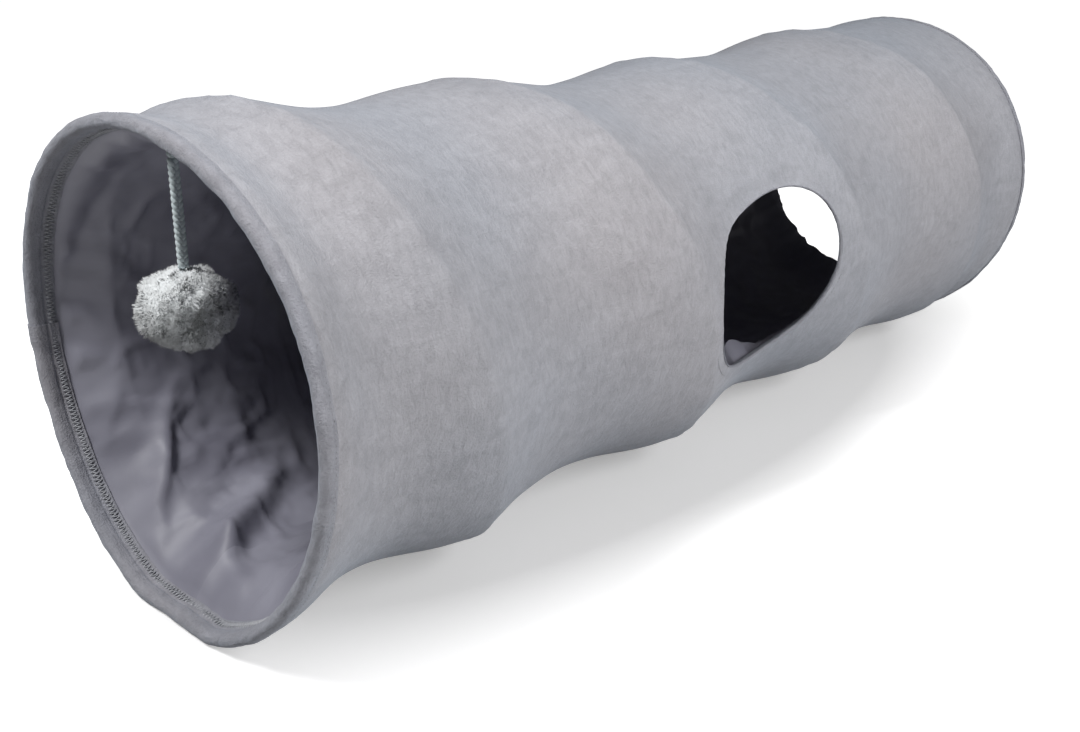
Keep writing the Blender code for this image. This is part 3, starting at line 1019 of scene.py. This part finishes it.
def outside_row(name, from_rear):
    x = from_end(run_setback, from_rear)
    half = run_length / 2 / tunnel_radius
    places = []
    for angle in turns(round(around / run_pitch)):
        stand = hem_relief(run_setback, 0.0, angle, hem_seeds[from_rear])
        places.append((
            wall_point(x, angle - half, stitch_dive - stand),
            wall_point(x, angle, -run_proud * run_thread_radius - stand),
            wall_point(x, angle + half, stitch_dive - stand),
        ))
    return running_stitches(name, places)


for from_rear in (False, True):
    end = "rear" if from_rear else "front"
    for seam in (zigzag(end + "_zigzag", from_rear), outside_row(end + "_topstitch", from_rear)):
        seam.data.materials.append(thread if "zigzag" in seam.name else quiet_thread)
        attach(seam, end)
        print(seam.name, len(seam.data.polygons), "faces")

# %% [markdown]
# The peephole's edge is turned to the inside and caught down. The roll shows as a thin light lip, and a
# quiet row of stitches runs round it. The hidden flange lies on the lining, which it traps.

# %% The peephole's turned edge
lip_radius = 0.0009
lip_slope = 0.0022
flange_inset = lining_inset + lining_thickness + flange_gap
lip_columns = 22
lip_fray = 0.0004
lip_fray_scale = 22.0
lip_fray_stretch = 60.0
ring_crown = 0.55


def lip_line(share):
    """A place on the lip's section: how far it is let out from the hole's edge, and its inset."""
    wall_run = flange_inset - 2 * lip_radius
    flange_run = facing_width - lip_radius
    curve = math.pi / 2 * lip_radius
    run = share * (2 * curve + wall_run + flange_run)
    if run < curve:
        turn = run / lip_radius
        return lip_radius * (1 - math.sin(turn)), lip_radius * (1 - math.cos(turn))
    run -= curve
    if run < wall_run:
        return lip_slope * run / wall_run, lip_radius + run
    run -= wall_run
    if run < curve:
        turn = run / lip_radius
        depth = flange_inset - lip_radius + lip_radius * math.sin(turn)
        return lip_slope + lip_radius * (1 - math.cos(turn)), depth
    return lip_slope + lip_radius + run - curve, flange_inset


def lip_place(along, share):
    grow, inset = lip_line(along)
    turn = 2 * math.pi * share
    x, angle = peephole_spot(turn, grow)
    spot = Vector((math.cos(turn), math.sin(turn), inset * lip_fray_stretch)) * lip_fray_scale
    fray = lip_fray * noise.noise(spot)
    if inset < lip_radius:
        return wall_point(x, angle, inset + fray - lip_lift * near(grow, lip_reach))
    return wall_point(x, angle, max(pressed(inset, x, angle), lip_radius) + fray)


lip_run = math.pi * lip_radius + flange_inset - 3 * lip_radius + facing_width
lip_cut = (lip_run, 2 * math.pi * peephole_radius)
peephole_lip = rolled_sheet("peephole_lip", lip_columns, 3 * peephole_steps, lip_cut, lip_place, hem_suede_painted_shade)
inner_face = face_nearest(peephole_lip, front_x + peephole_middle)
hole_middle = wall_point(peephole_middle, peephole_angle, flange_inset / 2)
turn_faces(peephole_lip, inner_face, hole_middle - inner_face.center)
thicken(peephole_lip, facing_thickness)
smooth(peephole_lip, degrees=60.0)
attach(peephole_lip, "front")
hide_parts("peephole_facing")
fold_up(peephole_lip)

stitch_count = round(2 * math.pi * (peephole_radius + topstitch_grow) / run_pitch)
ring_half = math.pi * run_length / run_pitch / stitch_count
ring_depths = (topstitch_depth + stitch_dive, topstitch_depth * ring_crown, topstitch_depth + stitch_dive)
ring_places = []
for turn in turns(stitch_count):
    spots = [peephole_spot(turn + side * ring_half, topstitch_grow) for side in (-1, 0, 1)]
    ring_places.append([wall_point(x, angle, depth) for (x, angle), depth in zip(spots, ring_depths)])
peephole_topstitch = running_stitches("peephole_topstitch", ring_places)
peephole_topstitch.data.materials.append(quiet_thread)
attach(peephole_topstitch, "front")
fold_up(peephole_topstitch)
print("peephole lip:", len(peephole_lip.data.polygons), "faces,", stitch_count, "stitches round it")

# %% [markdown]
# The lining is what the mouth shows, and it is never smooth: it is cut a little longer and wider than the
# tube, and it has been squashed flat many times. Its slack lies in slanting folds that run out at the
# binding's stitches. Each fold here is a line on the wall with a height and a width: its side to the mouth
# is gentle and its far side is steep. The folds seen in the front mouth are listed one by one, from their
# inner ends to the stitches, in thousandths of a metre and degrees. The rest are dealt out by a seeded
# dice, and are kept low among the listed ones.

# %% The folds of the lining
mouth_folds = (
    (0.0160, 0.0085, ((64, -92), (41, -103), (29, -116), (17, -127), (8, -135))),
    (0.0230, 0.0110, (
        (92, -108), (72, -116), (55, -123), (48, -132), (37, -141), (25, -152), (12, -163), (6, -167),
    )),
    (0.0320, 0.0250, (
        (124, -148), (104, -155), (82, -163), (60, -169), (42, -173), (28, -180), (19, -192), (10, -202),
    )),
    (0.0090, 0.0110, ((146, -132), (138, -139), (134, -148), (128, -158))),
    (0.0120, 0.0150, ((116, -112), (108, -121), (105, -129), (100, -142))),
    (0.0080, 0.0160, ((136, -116), (100, -106), (60, -98), (14, -88))),
    (0.0120, 0.0220, ((170, -158), (140, -176), (112, -192), (92, -214))),
    (0.0070, 0.0100, ((84, -66), (74, -54), (58, -42), (30, -28), (8, -22))),
    (0.0080, 0.0110, ((60, -40), (40, -52), (28, -64), (8, -76))),
    (0.0075, 0.0100, ((80, -62), (50, -78), (30, -100), (8, -112))),
    (0.0090, 0.0180, ((130, -56), (100, -70), (88, -98))),
    (0.0080, 0.0090, ((96, -128), (80, -140), (66, -152), (58, -164))),
    (0.0060, 0.0070, ((24, -136), (32, -148), (44, -154))),
    (0.0520, 0.0260, (
        (838, -25), (844, -50), (846, -85), (847, -115), (847, -145), (845, -175), (840, -205),
    )),
    (0.0120, 0.0200, ((560, -70), (610, -100), (640, -130), (660, -170))),
)
placed_depth = 0.15
placed_below = 0.75
placed_beside = 0.2
dealt_among_placed = 0.12
dealt_folds = 90
dealt_margin = 0.02
dealt_slants = (0.5, 1.3)
dealt_half_lengths = (0.03, 0.08)
dealt_top_height = 0.0025
dealt_more_underneath = 0.0065
dealt_height_shares = (0.6, 1.1)
dealt_widths = (0.005, 0.011)
dealt_bend = 0.3
fold_far_side = 0.6
fold_crispness = 1.6
fold_end = 0.02
fold_blend = 3.0
dice = random.Random(29)


def dealt_fold():
    """One fold of the rest of the lining: it slants, and it is high underneath and low on top."""
    x = dice.uniform(dealt_margin, tunnel_length - dealt_margin)
    angle = dice.uniform(-math.pi, math.pi)
    slant = dice.choice((-1, 1)) * dice.uniform(*dealt_slants)
    half = dice.uniform(*dealt_half_lengths)
    weight = (1.0 - math.cos(angle)) / 2
    height = (dealt_top_height + dealt_more_underneath * weight) * dice.uniform(*dealt_height_shares)
    width = dice.uniform(*dealt_widths)
    bend = dice.uniform(-dealt_bend, dealt_bend)
    points = []
    for share in (-1.0, -0.5, 0.0, 0.5, 1.0):
        turn = slant + bend * share
        arc = angle * tunnel_radius + half * share * math.sin(turn)
        points.append((x + half * share * math.cos(turn), arc))
    return height, width, points


def fold_distance(x, arc, points):
    """Distance to a fold's line, positive on its side away from the mouth, and the share run along it."""
    best = np.full(x.shape, 1.0)
    side = np.zeros(x.shape)
    reached = np.zeros(x.shape)
    for count, ((x0, a0), (x1, a1)) in enumerate(zip(points, points[1:])):
        along_x, along_arc = x1 - x0, a1 - a0
        length = math.hypot(along_x, along_arc)
        share = np.clip(((x - x0) * along_x + (arc - a0) * along_arc) / length ** 2, 0.0, 1.0)
        gap_x = x - x0 - share * along_x
        gap_arc = arc - a0 - share * along_arc
        gap = np.hypot(gap_x, gap_arc)
        nearer = gap < best
        best = np.where(nearer, gap, best)
        side = np.where(nearer, np.sign((gap_x * along_arc - gap_arc * along_x) * np.sign(along_arc)), side)
        reached = np.where(nearer, (count + share) / (len(points) - 1), reached)
    return best * side, reached


def raise_folds(x, angle):
    """How far the folds stand off the wall at arrays of places."""
    stand = np.zeros(x.shape)
    among_placed = (x < placed_depth) & (np.cos(angle) < placed_below) & (np.sin(angle) < placed_beside)
    folds = []
    for height, width, places in mouth_folds:
        points = [(place / 1000.0, math.radians(degrees) * tunnel_radius) for place, degrees in places]
        folds.append((height, width, points, 1.0, 0.5))
    for count in range(dealt_folds):
        height, width, points = dealt_fold()
        folds.append((height, width, points, np.where(among_placed, dealt_among_placed, 1.0), 1.0))
    for height, width, points, share, run_out in folds:
        for turn in (-1, 0, 1):
            arc = (angle + turn * 2 * math.pi) * tunnel_radius
            gap, reached = fold_distance(x, arc, points)
            reach = np.where(gap < 0, width, width * fold_far_side)
            ends = np.sqrt(np.sin(math.pi * np.clip(reached, fold_end, 1.0 - fold_end) * run_out))
            ridge = height * share * ends * np.exp(-np.abs(gap / reach) ** fold_crispness)
            stand += ridge ** fold_blend
    return stand ** (1.0 / fold_blend)


lining_columns = 224
lining_rows = 214
front_fineness = 0.42
inner_setback = 0.0046
inner_run = tunnel_length - 2 * inner_setback
sheet_x = np.linspace(0.0, 1.0, lining_columns + 1)
sheet_arc = np.linspace(0.0, 1.0, lining_rows + 1)
lining_x = inner_setback + inner_run * sheet_x * (front_fineness + (1.0 - front_fineness) * sheet_x)
grid_x, grid_angle = np.meshgrid(lining_x, -math.pi + 2 * math.pi * sheet_arc, indexing="ij")
once_round = raise_folds(grid_x, grid_angle)[:, :-1]
for _ in range(2):
    once_round = (np.roll(once_round, 1, 1) + 2 * once_round + np.roll(once_round, -1, 1)) / 4
    once_round[1:-1] = (once_round[:-2] + 2 * once_round[1:-1] + once_round[2:]) / 4
fold_heights = np.concatenate((once_round, once_round[:, :1]), axis=1)
print("folds stand off by up to", round(float(fold_heights.max()), 4), "m")

# %% [markdown]
# Three more things move the lining. Small pleats gather at the stitches, where the wider sheet is sewn to
# the binding. A puff of slack lies inside the peephole's lower edge. And small sharp creases run between
# the folds: each kind of crease has a height, a scale, a seed and the way that it is warped.

# %% Gathers, puff and creases
gather_start = 0.0004
gather_reach = 0.020
gather_rise = gather_reach / 6
gather_height = 0.0040
gather_base = 0.3
gather_stretch = 0.3
gather_scale = 58.0
fold_reach = 0.026
puff_turn = math.radians(88.0)
puff_turn_reach = 0.23
puff_grow = 0.0155
puff_grow_reach = 0.010
puff_height = 0.0145
puff_rise = 0.004
hole_hold = 0.04
slack_waviness = 0.002
slack_scale = 17.0
crease_warp = 0.006
crease_sharpness = 2.2
crease_kinds = ((0.003, 30.0, 11.0, 1), (0.0012, 68.0, 17.0, -1))
calm_share = 0.4
calm_reach = 0.13


def gathers(x, angle):
    """Small pleats that run inwards from the stitches."""
    pleat = max(gather_base + 2.0 * cloth_noise(x * gather_stretch, angle, gather_scale, 37.0), 0.0)
    return gather_height * pleat * near(mouth_distance(x) - hem_inner_width, gather_reach)


def peephole_puff(x, angle):
    """The puff of slack that shows in the peephole's lower corner."""
    grow = beyond_peephole(x, angle)
    arc = math.remainder(angle - peephole_angle, 2 * math.pi) * tunnel_radius
    turn = math.atan2(arc, x - peephole_middle)
    puff = puff_height * near(turn - puff_turn, puff_turn_reach) * near(grow - puff_grow, puff_grow_reach)
    return puff * clamp((grow - facing_width) / puff_rise)


def lining_free(x, angle, reach):
    """0 where the lining is sewn down: at both bindings and at the peephole's flange."""
    ends = mouth_distance(x) - hem_inner_width - gather_start
    hole = beyond_peephole(x, angle) - facing_width
    return clamp(min(ends / reach, hole / hole_hold))


def crumple(x, angle):
    """Broad slack and small sharp creases, which are calmer near the front mouth."""
    warp = crease_warp * cloth_noise(x, angle, 22.0, 31.0)
    stand = slack_waviness * (0.5 + cloth_noise(x, angle, slack_scale, 23.0))
    for height, scale, seed, side in crease_kinds:
        wave = crease_sharpness * cloth_noise(x + side * warp, angle, scale, seed)
        stand += height * (1.0 - abs(wave)) ** 3
    return (1.0 - calm_share * near(x, calm_reach)) * stand


print("creases underneath, 5 cm from the mouth:", round(crumple(0.05, math.pi), 4), "m")

# %% [markdown]
# Now the sheet itself. Its columns are closer together near the front, where it is seen. A fold leans away
# from the mouth as it rises, and the puff sags over the peephole's edge.

# %% The lining
lining_seat = lining_inset + lining_thickness / 2
fold_lean = 0.32
fold_rise_power = 0.75
puff_spill = 0.45
hidden_edge = 0.003


def lining_place(along, share):
    column = round(along * lining_columns)
    x = float(lining_x[column])
    angle = seam_angle(share)
    stand = fold_heights[column, round(share * lining_rows)] + crumple(x, angle)
    stand *= lining_free(x, angle, fold_reach) ** fold_rise_power
    stand += gathers(x, angle) * lining_free(x, angle, gather_rise)
    puff = peephole_puff(x, angle)
    stand += puff
    inset = pressed(lining_seat, x, angle) + stand
    return wall_point(x + fold_lean * stand, angle - puff_spill * puff / tunnel_radius, inset)


lining = rolled_sheet("slack_lining", lining_columns, lining_rows, uncut, lining_place, satin)
for loop in lining.data.uv_layers.active.data:
    along = loop.uv[0] / tunnel_length
    loop.uv[0] *= front_fineness + (1.0 - front_fineness) * along
face_outwards(lining)
open_peephole(lining, inner_setback, lining_seat, hidden_edge)
print("lining's cloth:", round(sum(face.area for face in lining.data.polygons), 3), "square metres")
thicken(lining, lining_thickness, offset=0.0)
smooth(lining, degrees=70.0)
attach(lining, "front")
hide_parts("lining")
fold_up(lining)

# %% [markdown]
# Behind the lining lies what the cat hears and what springs the tunnel open: the crackling film, the coil
# of wire and the tape that sews it to the suede. They hardly show, but they move with the rest.

# %% Film, coil and tape
film_columns = 120
film_rows = 140
film_crinkle = 0.0002
film_crinkle_scale = 130.0
coil_step = math.radians(4.0)
coil_sides = 8
wire_ends = math.radians(14.0)
ferrule_clearance = 0.00015
ferrule_wall = 0.0005
hoop_setback = suede_thickness + seat_gap + wire_radius + ferrule_clearance + ferrule_wall
coil_setback = hoop_setback + 2 * wire_radius + seat_gap


def film_place(along, share):
    x = inner_setback + inner_run * along
    angle = seam_angle(share)
    crinkle = film_crinkle * cloth_noise(x, angle, film_crinkle_scale, 41.0)
    return wall_point(x, angle, pressed(film_inset + film_thickness / 2, x, angle) + crinkle)


film = rolled_sheet("film", film_columns, film_rows, uncut, film_place, film_finish)
face_outwards(film)
open_peephole(film, inner_setback, film_inset + film_thickness / 2, hidden_edge)
thicken(film, film_thickness, offset=0.0)
smooth(film)
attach(film, "front")
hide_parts("crinkle_film")
fold_up(film)

coil_end_angle = coil_start_angle + 2 * math.pi * tunnel_length / coil_pitch
coil_turn = coil_end_angle - coil_start_angle
coil_steps = round(coil_turn / coil_step)
coil_angles = [coil_start_angle + coil_turn * step / coil_steps for step in range(coil_steps + 1)]


def past_coil_end(angle):
    """How far a place on the coil is turned from the nearer end of the wire."""
    return min(angle - coil_start_angle, coil_end_angle - angle)


def coil_spot(angle, across=0.0, inset=wire_inset):
    """A place on the coil or beside it; near the hoops it drops to their depth."""
    x = clamp(coil_x(angle), coil_setback, tunnel_length - coil_setback)
    drop = max(1.0 - past_coil_end(angle) / wire_ends, 0.0)
    return wall_point(x + across, angle, inset + (nose_radius - inset) * drop)


coil_rail = [coil_spot(angle) for angle in coil_angles]
spring_coil = tube_mesh("spring_coil", [coil_rail], [[wire_radius] * len(coil_rail)], coil_sides)
spring_coil.data.materials.append(spring_steel)
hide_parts("coil_wire")

tape_edge = suede_thickness + 0.0008
tape_section = (
    (-0.5, tape_edge), (-0.34, tape_edge), (-0.14, channel_inset),
    (0.14, channel_inset), (0.34, tape_edge), (0.5, tape_edge),
)
tape_angles = [angle for angle in coil_angles if past_coil_end(angle) > 3 * wire_ends]
tape_grid = (len(tape_angles) - 1, len(tape_section) - 1)
tape_cut = (tunnel_radius * (tape_angles[-1] - tape_angles[0]), channel_width)


def tape_place(along, share):
    angle = tape_angles[round(along * tape_grid[0])]
    across, inset = tape_section[round(share * tape_grid[1])]
    return coil_spot(angle, across * channel_width, inset)


tape = rolled_sheet("wire_tape", *tape_grid, tape_cut, tape_place, tape_finish)
thicken(tape, channel_thickness, offset=1.0)
smooth(tape, degrees=60.0)
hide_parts("wire_channel")
for piece in (spring_coil, tape):
    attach(piece, "front")
    fold_up(piece)
print("coil:", round(sum((b - a).length for a, b in zip(coil_rail, coil_rail[1:])), 2), "m of wire")

# %% [markdown]
# The toy's small parts: a folded tab sewn under the binding, the wound thread that the cord swings on, and
# the overhand knot that is pulled into the pom-pom. A trefoil line is that knot drawn tight.

# %% Tab, tack and knot
tab_width = 0.010
tab_length = 0.009
tab_thickness = 0.0015
tab_setback = 0.016
tab_angle = math.radians(5.0)
tab_softness = 0.45
tab_taper = 0.12

tab = primitive("sewn_tab", bpy.ops.mesh.primitive_cube_add, size=1.0)
bpy.ops.object.mode_set(mode="EDIT")
bpy.ops.mesh.select_all(action="SELECT")
bpy.ops.mesh.subdivide(number_cuts=7)
bpy.ops.object.mode_set(mode="OBJECT")
for corner in tab.data.vertices:
    across, along, high = corner.co.y, corner.co.x, corner.co.z
    puff = 1.0 - tab_softness * (abs(2 * across) ** 4 + abs(2 * along) ** 4) / 2
    ease = 1.0 - tab_taper * (2 * high) ** 2
    x = tab_setback + along * tab_length * ease
    angle = tab_angle - across * tab_width * ease / tunnel_radius
    inset = hem_inset + seat_gap + (0.5 - high * puff) * tab_thickness
    corner.co = wall_point(x, angle, inset)
apply_modifier(tab, "SUBSURF", levels=1, render_levels=1)
smooth(tab, degrees=80.0)
tab.data.materials.append(hem_suede_painted_shade)
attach(tab, "front")
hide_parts("anchor_tab")

wraps = 5
wrap_steps = 24
wrap_thread = 0.0007
wrap_reach = tack_radius - wrap_thread
wrap_margin = 0.12
wrap_sides = 8
tack_core_share = 0.8
tack_rail = []
for step in range(wraps * wrap_steps + 1):
    share = step / (wraps * wrap_steps)
    lean = math.pi * (wrap_margin + (1.0 - 2 * wrap_margin) * share)
    turn = 2 * math.pi * wraps * share
    reach = wrap_reach * math.sin(lean)
    wrap = Vector((reach * math.cos(turn), wrap_reach * math.cos(lean), reach * math.sin(turn)))
    tack_rail.append(toy_pivot + wrap)
tack_core = []
tack_sizes = []
for side, share in ((-1.0, 0.2), (-0.5, 0.62), (0.0, tack_core_share), (0.5, 0.62), (1.0, 0.2)):
    tack_core.append(toy_pivot + Vector((0.0, side * tack_radius * tack_core_share, 0.0)))
    tack_sizes.append(tack_radius * share)
wrap_sizes = [wrap_thread] * len(tack_rail)
tack = tube_mesh("wound_tack", [tack_rail, tack_core], [wrap_sizes, tack_sizes], wrap_sides)
tack.data.materials.append(cord_yarn)
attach(tack, "hanger")
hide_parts("cord_tack")

knot_strand = 0.0014
knot_steps = 72
knot_depth = 1.6
knot_sides = 10
knot_middle = below(below(cord_top, cord_drop), seat_gap + knot_radius)
knot_rail = []
for turn in turns(knot_steps):
    trefoil = Vector((
        math.sin(turn) + 2 * math.sin(2 * turn),
        math.cos(turn) - 2 * math.cos(2 * turn),
        -knot_depth * math.sin(3 * turn),
    ))
    knot_rail.append(knot_middle + trefoil * (knot_radius - knot_strand) / 3)
knot = tube_mesh("pulled_knot", [knot_rail], [[knot_strand] * knot_steps], knot_sides, closed=True)
knot.data.materials.append(cord_yarn)
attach(knot, "toy")
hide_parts("cord_knot")
print("tab, tack and knot made")

# %% [markdown]
# The pom-pom is cut yarn: thousands of soft fibres that start in its heart and end in small tufts. A core
# of yarn closes the gaps between them. Each fibre is a thin three-sided spike, leaning with its tuft, and
# every point of it carries a depth. The yarn's finish turns that depth into painted shade, which darkens the
# roots and the core. Thousands of spikes that shade by themselves look like wire, so their normals are turned
# most of the way to the ball's own, and the ball shades as one soft thing.

# %% The pom-pom
pompom_radius = 0.0285
pompom_half_height = 0.0235
pompom_middle = Vector((toy_pivot.x, toy_pivot.y, knot_middle.z + knot_radius - pompom_half_height))
pompom_size = 0.99
pompom_lumps = ((0.07, 2.6), (0.05, 7.0))
core_share = 0.92
core_tufts = 0.03
core_painted_shade = 0.5
fibre_count = 16000
fibre_root = 0.76
fibre_thickness = 0.00046
fibre_scatter = 0.03
fibre_lean = 0.09
fibre_lengths = (-0.04, 0.035)
fibre_bow = 0.015
fibre_bow_place = 0.6
fibre_corners = (0.0, 2.094, 4.189)
tuft_scale = 210.0
tuft_height = 0.07
tuft_offsets = (Vector((0.0, 0.0, 0.0)), Vector((9.0, 0.0, 0.0)), Vector((0.0, 9.0, 0.0)))
own_shade_share = 0.12
golden_turn = math.pi * (3.0 - math.sqrt(5.0))
dice = random.Random(11)


def pompom_reach(direction):
    """The pom-pom's outline: a flattened ball with soft lumps."""
    across = (direction.x ** 2 + direction.y ** 2) / pompom_radius ** 2
    flat = 1.0 / math.sqrt(across + direction.z ** 2 / pompom_half_height ** 2)
    size = pompom_size
    for height, scale in pompom_lumps:
        size += height * noise.noise(direction * scale)
    return flat * size


core = primitive("pompom_core", bpy.ops.mesh.primitive_ico_sphere_add, subdivisions=5, radius=1.0)
for corner in core.data.vertices:
    direction = corner.co.normalized()
    tuft = noise.noise(direction * pompom_radius * tuft_scale)
    corner.co = pompom_middle + direction * pompom_reach(direction) * (core_share + core_tufts * tuft)
core.data.shade_smooth()
# Painted shade: the whole core is given half of a root's depth.
core_painted_shade_layer = core.data.attributes.new("depth", "FLOAT", "POINT")
core_painted_shade_layer.data.foreach_set("value", [core_painted_shade] * len(core.data.vertices))

shape = bmesh.new()
# Depth is painted shade: 1 at a fibre's root, 0.45 at its bend and 0 at its tip.
painted_shade_layer = shape.verts.layers.float.new("depth")
for count in range(fibre_count):
    high = 1.0 - 2.0 * (count + 0.5) / fibre_count
    turn = golden_turn * count
    out = math.sqrt(1.0 - high * high)
    direction = Vector((out * math.cos(turn), out * math.sin(turn), high))
    direction += Vector((dice.uniform(-1, 1), dice.uniform(-1, 1), dice.uniform(-1, 1))) * fibre_scatter
    direction.normalize()
    spot = direction * pompom_radius * tuft_scale
    lean = Vector([noise.noise(spot + offset) for offset in tuft_offsets])
    tip_direction = (direction + lean * fibre_lean).normalized()
    reach = pompom_reach(direction)
    length = 1.0 + tuft_height * noise.noise(spot * 0.5) + dice.uniform(*fibre_lengths)
    root = direction * reach * fibre_root
    tip = tip_direction * reach * length
    bow = root.lerp(tip, fibre_bow_place) + direction * reach * fibre_bow
    side = direction.orthogonal().normalized()
    side.rotate(Matrix.Rotation(dice.uniform(0.0, 2 * math.pi), 3, direction))
    other = direction.cross(side)
    rings = []
    for middle, thickness, depth in ((root, 1.0, 1.0), (bow, 0.95, 0.45)):
        ring = []
        for corner_turn in fibre_corners:
            offset = side * math.cos(corner_turn) + other * math.sin(corner_turn)
            offset *= fibre_thickness
            corner = shape.verts.new(pompom_middle + middle + offset * thickness)
            corner[painted_shade_layer] = depth
            ring.append(corner)
        rings.append(ring)
    point = shape.verts.new(pompom_middle + tip)
    point[painted_shade_layer] = 0.0
    for step in range(3):
        after = (step + 1) % 3
        shape.faces.new((rings[0][step], rings[0][after], rings[1][after], rings[1][step]))
        shape.faces.new((rings[1][step], rings[1][after], point))
    shape.faces.new(rings[0][::-1])
fibres = mesh_piece("pompom_fibres", shape)
fibres.data.shade_smooth()
soft_shades = [
    (corner.co - pompom_middle).normalized().lerp(corner.normal, own_shade_share).normalized()
    for corner in fibres.data.vertices
]
fibres.data.normals_split_custom_set_from_vertices(soft_shades)
for piece in (core, fibres):
    piece.data.materials.append(pompom_yarn)
    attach(piece, "toy")
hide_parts("pompom")
[tuple(place) for place in cord_route]
print("pom-pom:", fibre_count, "fibres")

# %% [markdown]
# The studio is a white floor in a white room. The floor keeps the tunnel's soft shadow, and close to the
# tunnel its glow is held back, which paints a darker shadow there. The camera sees the surroundings at full
# white, while the light that the world gives to the object is much weaker.

# %% The floor
floor_grey = 0.80
bounce_grey = 0.36
painted_shadow_glow = 0.28
painted_shadow_shape = (0.36, 1.0, 1.0)
painted_shadow_inner_reach = 0.145
floor_size = 24.0
floor_gap = 0.0004
painted_shadow_outer_reach = 0.24


def make_floor_finish():
    """Paper that is white to the eye and throws little light back; its glow is held back close to the tunnel,
    which paints a soft shadow there.
    """
    ground = Finish("studio_floor", roughness=0.95)
    where = ground.places("Object")
    paper = ground.clouds(where, 3.0)
    names = ("Is Camera Ray", "Is Glossy Ray", "Is Transmission Ray")
    straight, mirrored, passed = [ground.add("ShaderNodeLightPath", output=name) for name in names]
    seen = ground.stretch(straight + mirrored + passed, 0.0, 1.0)
    shown = ground.between(paper, (floor_grey,) * 3, (floor_grey * 0.99,) * 3)
    ground.colour(ground.between(seen, (bounce_grey,) * 3, shown))
    # Painted shadow: the glow is weakest in an oval round the tunnel's footprint, and full beyond it.
    stretched = ground.places("Object", scale=painted_shadow_shape)
    away = ground.add("ShaderNodeVectorMath", {"operation": "LENGTH"}, {0: stretched}, output="Value")
    out_of_painted_shadow = ground.stretch(away, painted_shadow_inner_reach, painted_shadow_outer_reach)
    strength = seen * (painted_shadow_glow + out_of_painted_shadow * (1.0 - painted_shadow_glow))
    glow = ground.add("ShaderNodeEmission", values={"Color": (1.0, 1.0, 1.0, 1.0), "Strength": strength})
    both = ground.add("ShaderNodeAddShader", values={0: Signal(ground, ground.shader.outputs[0]), 1: glow})
    ground.feed(ground.tree.nodes["Material Output"].inputs["Surface"], both)
    return ground.material


under_all = (0.0, 0.0, -floor_gap)
floor = primitive("floor", bpy.ops.mesh.primitive_plane_add, size=floor_size, location=under_all)
floor.data.materials.append(make_floor_finish())
print("floor laid")

# %% [markdown]
# Two soft boxes light it. The main one is above and to the left, as the bright left side of the pom-pom
# tells. The other is weak and fills the peephole's side.


# %% Lamps and world
def soft_box(name, place, target, size, power):
    light = bpy.data.lights.new(name, "AREA")
    light.shape = "SQUARE"
    light.size = size
    light.energy = power
    holder = put_in_scene(name, light)
    holder.location = place
    holder.rotation_euler = (Vector(target) - Vector(place)).to_track_quat("-Z", "Y").to_euler()


soft_box("main_soft_box", place=(-1.2, 0.3, 1.6), target=(-0.3, 0.0, 0.1), size=0.5, power=25.0)
soft_box("side_soft_box", place=(0.0, -1.5, 0.9), target=(-0.1, 0.0, 0.15), size=1.0, power=19.0)
fill_strength = 0.03
world = bpy.data.worlds.new("studio")
bpy.context.scene.world = world
world.use_nodes = True
sky = world.node_tree
seen = sky.nodes.new("ShaderNodeLightPath")
strength = sky.nodes.new("ShaderNodeMix")
strength.data_type = "FLOAT"
strength.inputs[2].default_value = fill_strength
strength.inputs[3].default_value = 1.0
sky.nodes["Background"].inputs["Color"].default_value = (1.0, 1.0, 1.0, 1.0)
sky.links.new(seen.outputs["Is Camera Ray"], strength.inputs[0])
sky.links.new(strength.outputs[0], sky.nodes["Background"].inputs["Strength"])
bpy.context.scene.view_settings.view_transform = "Standard"
print("studio lit")
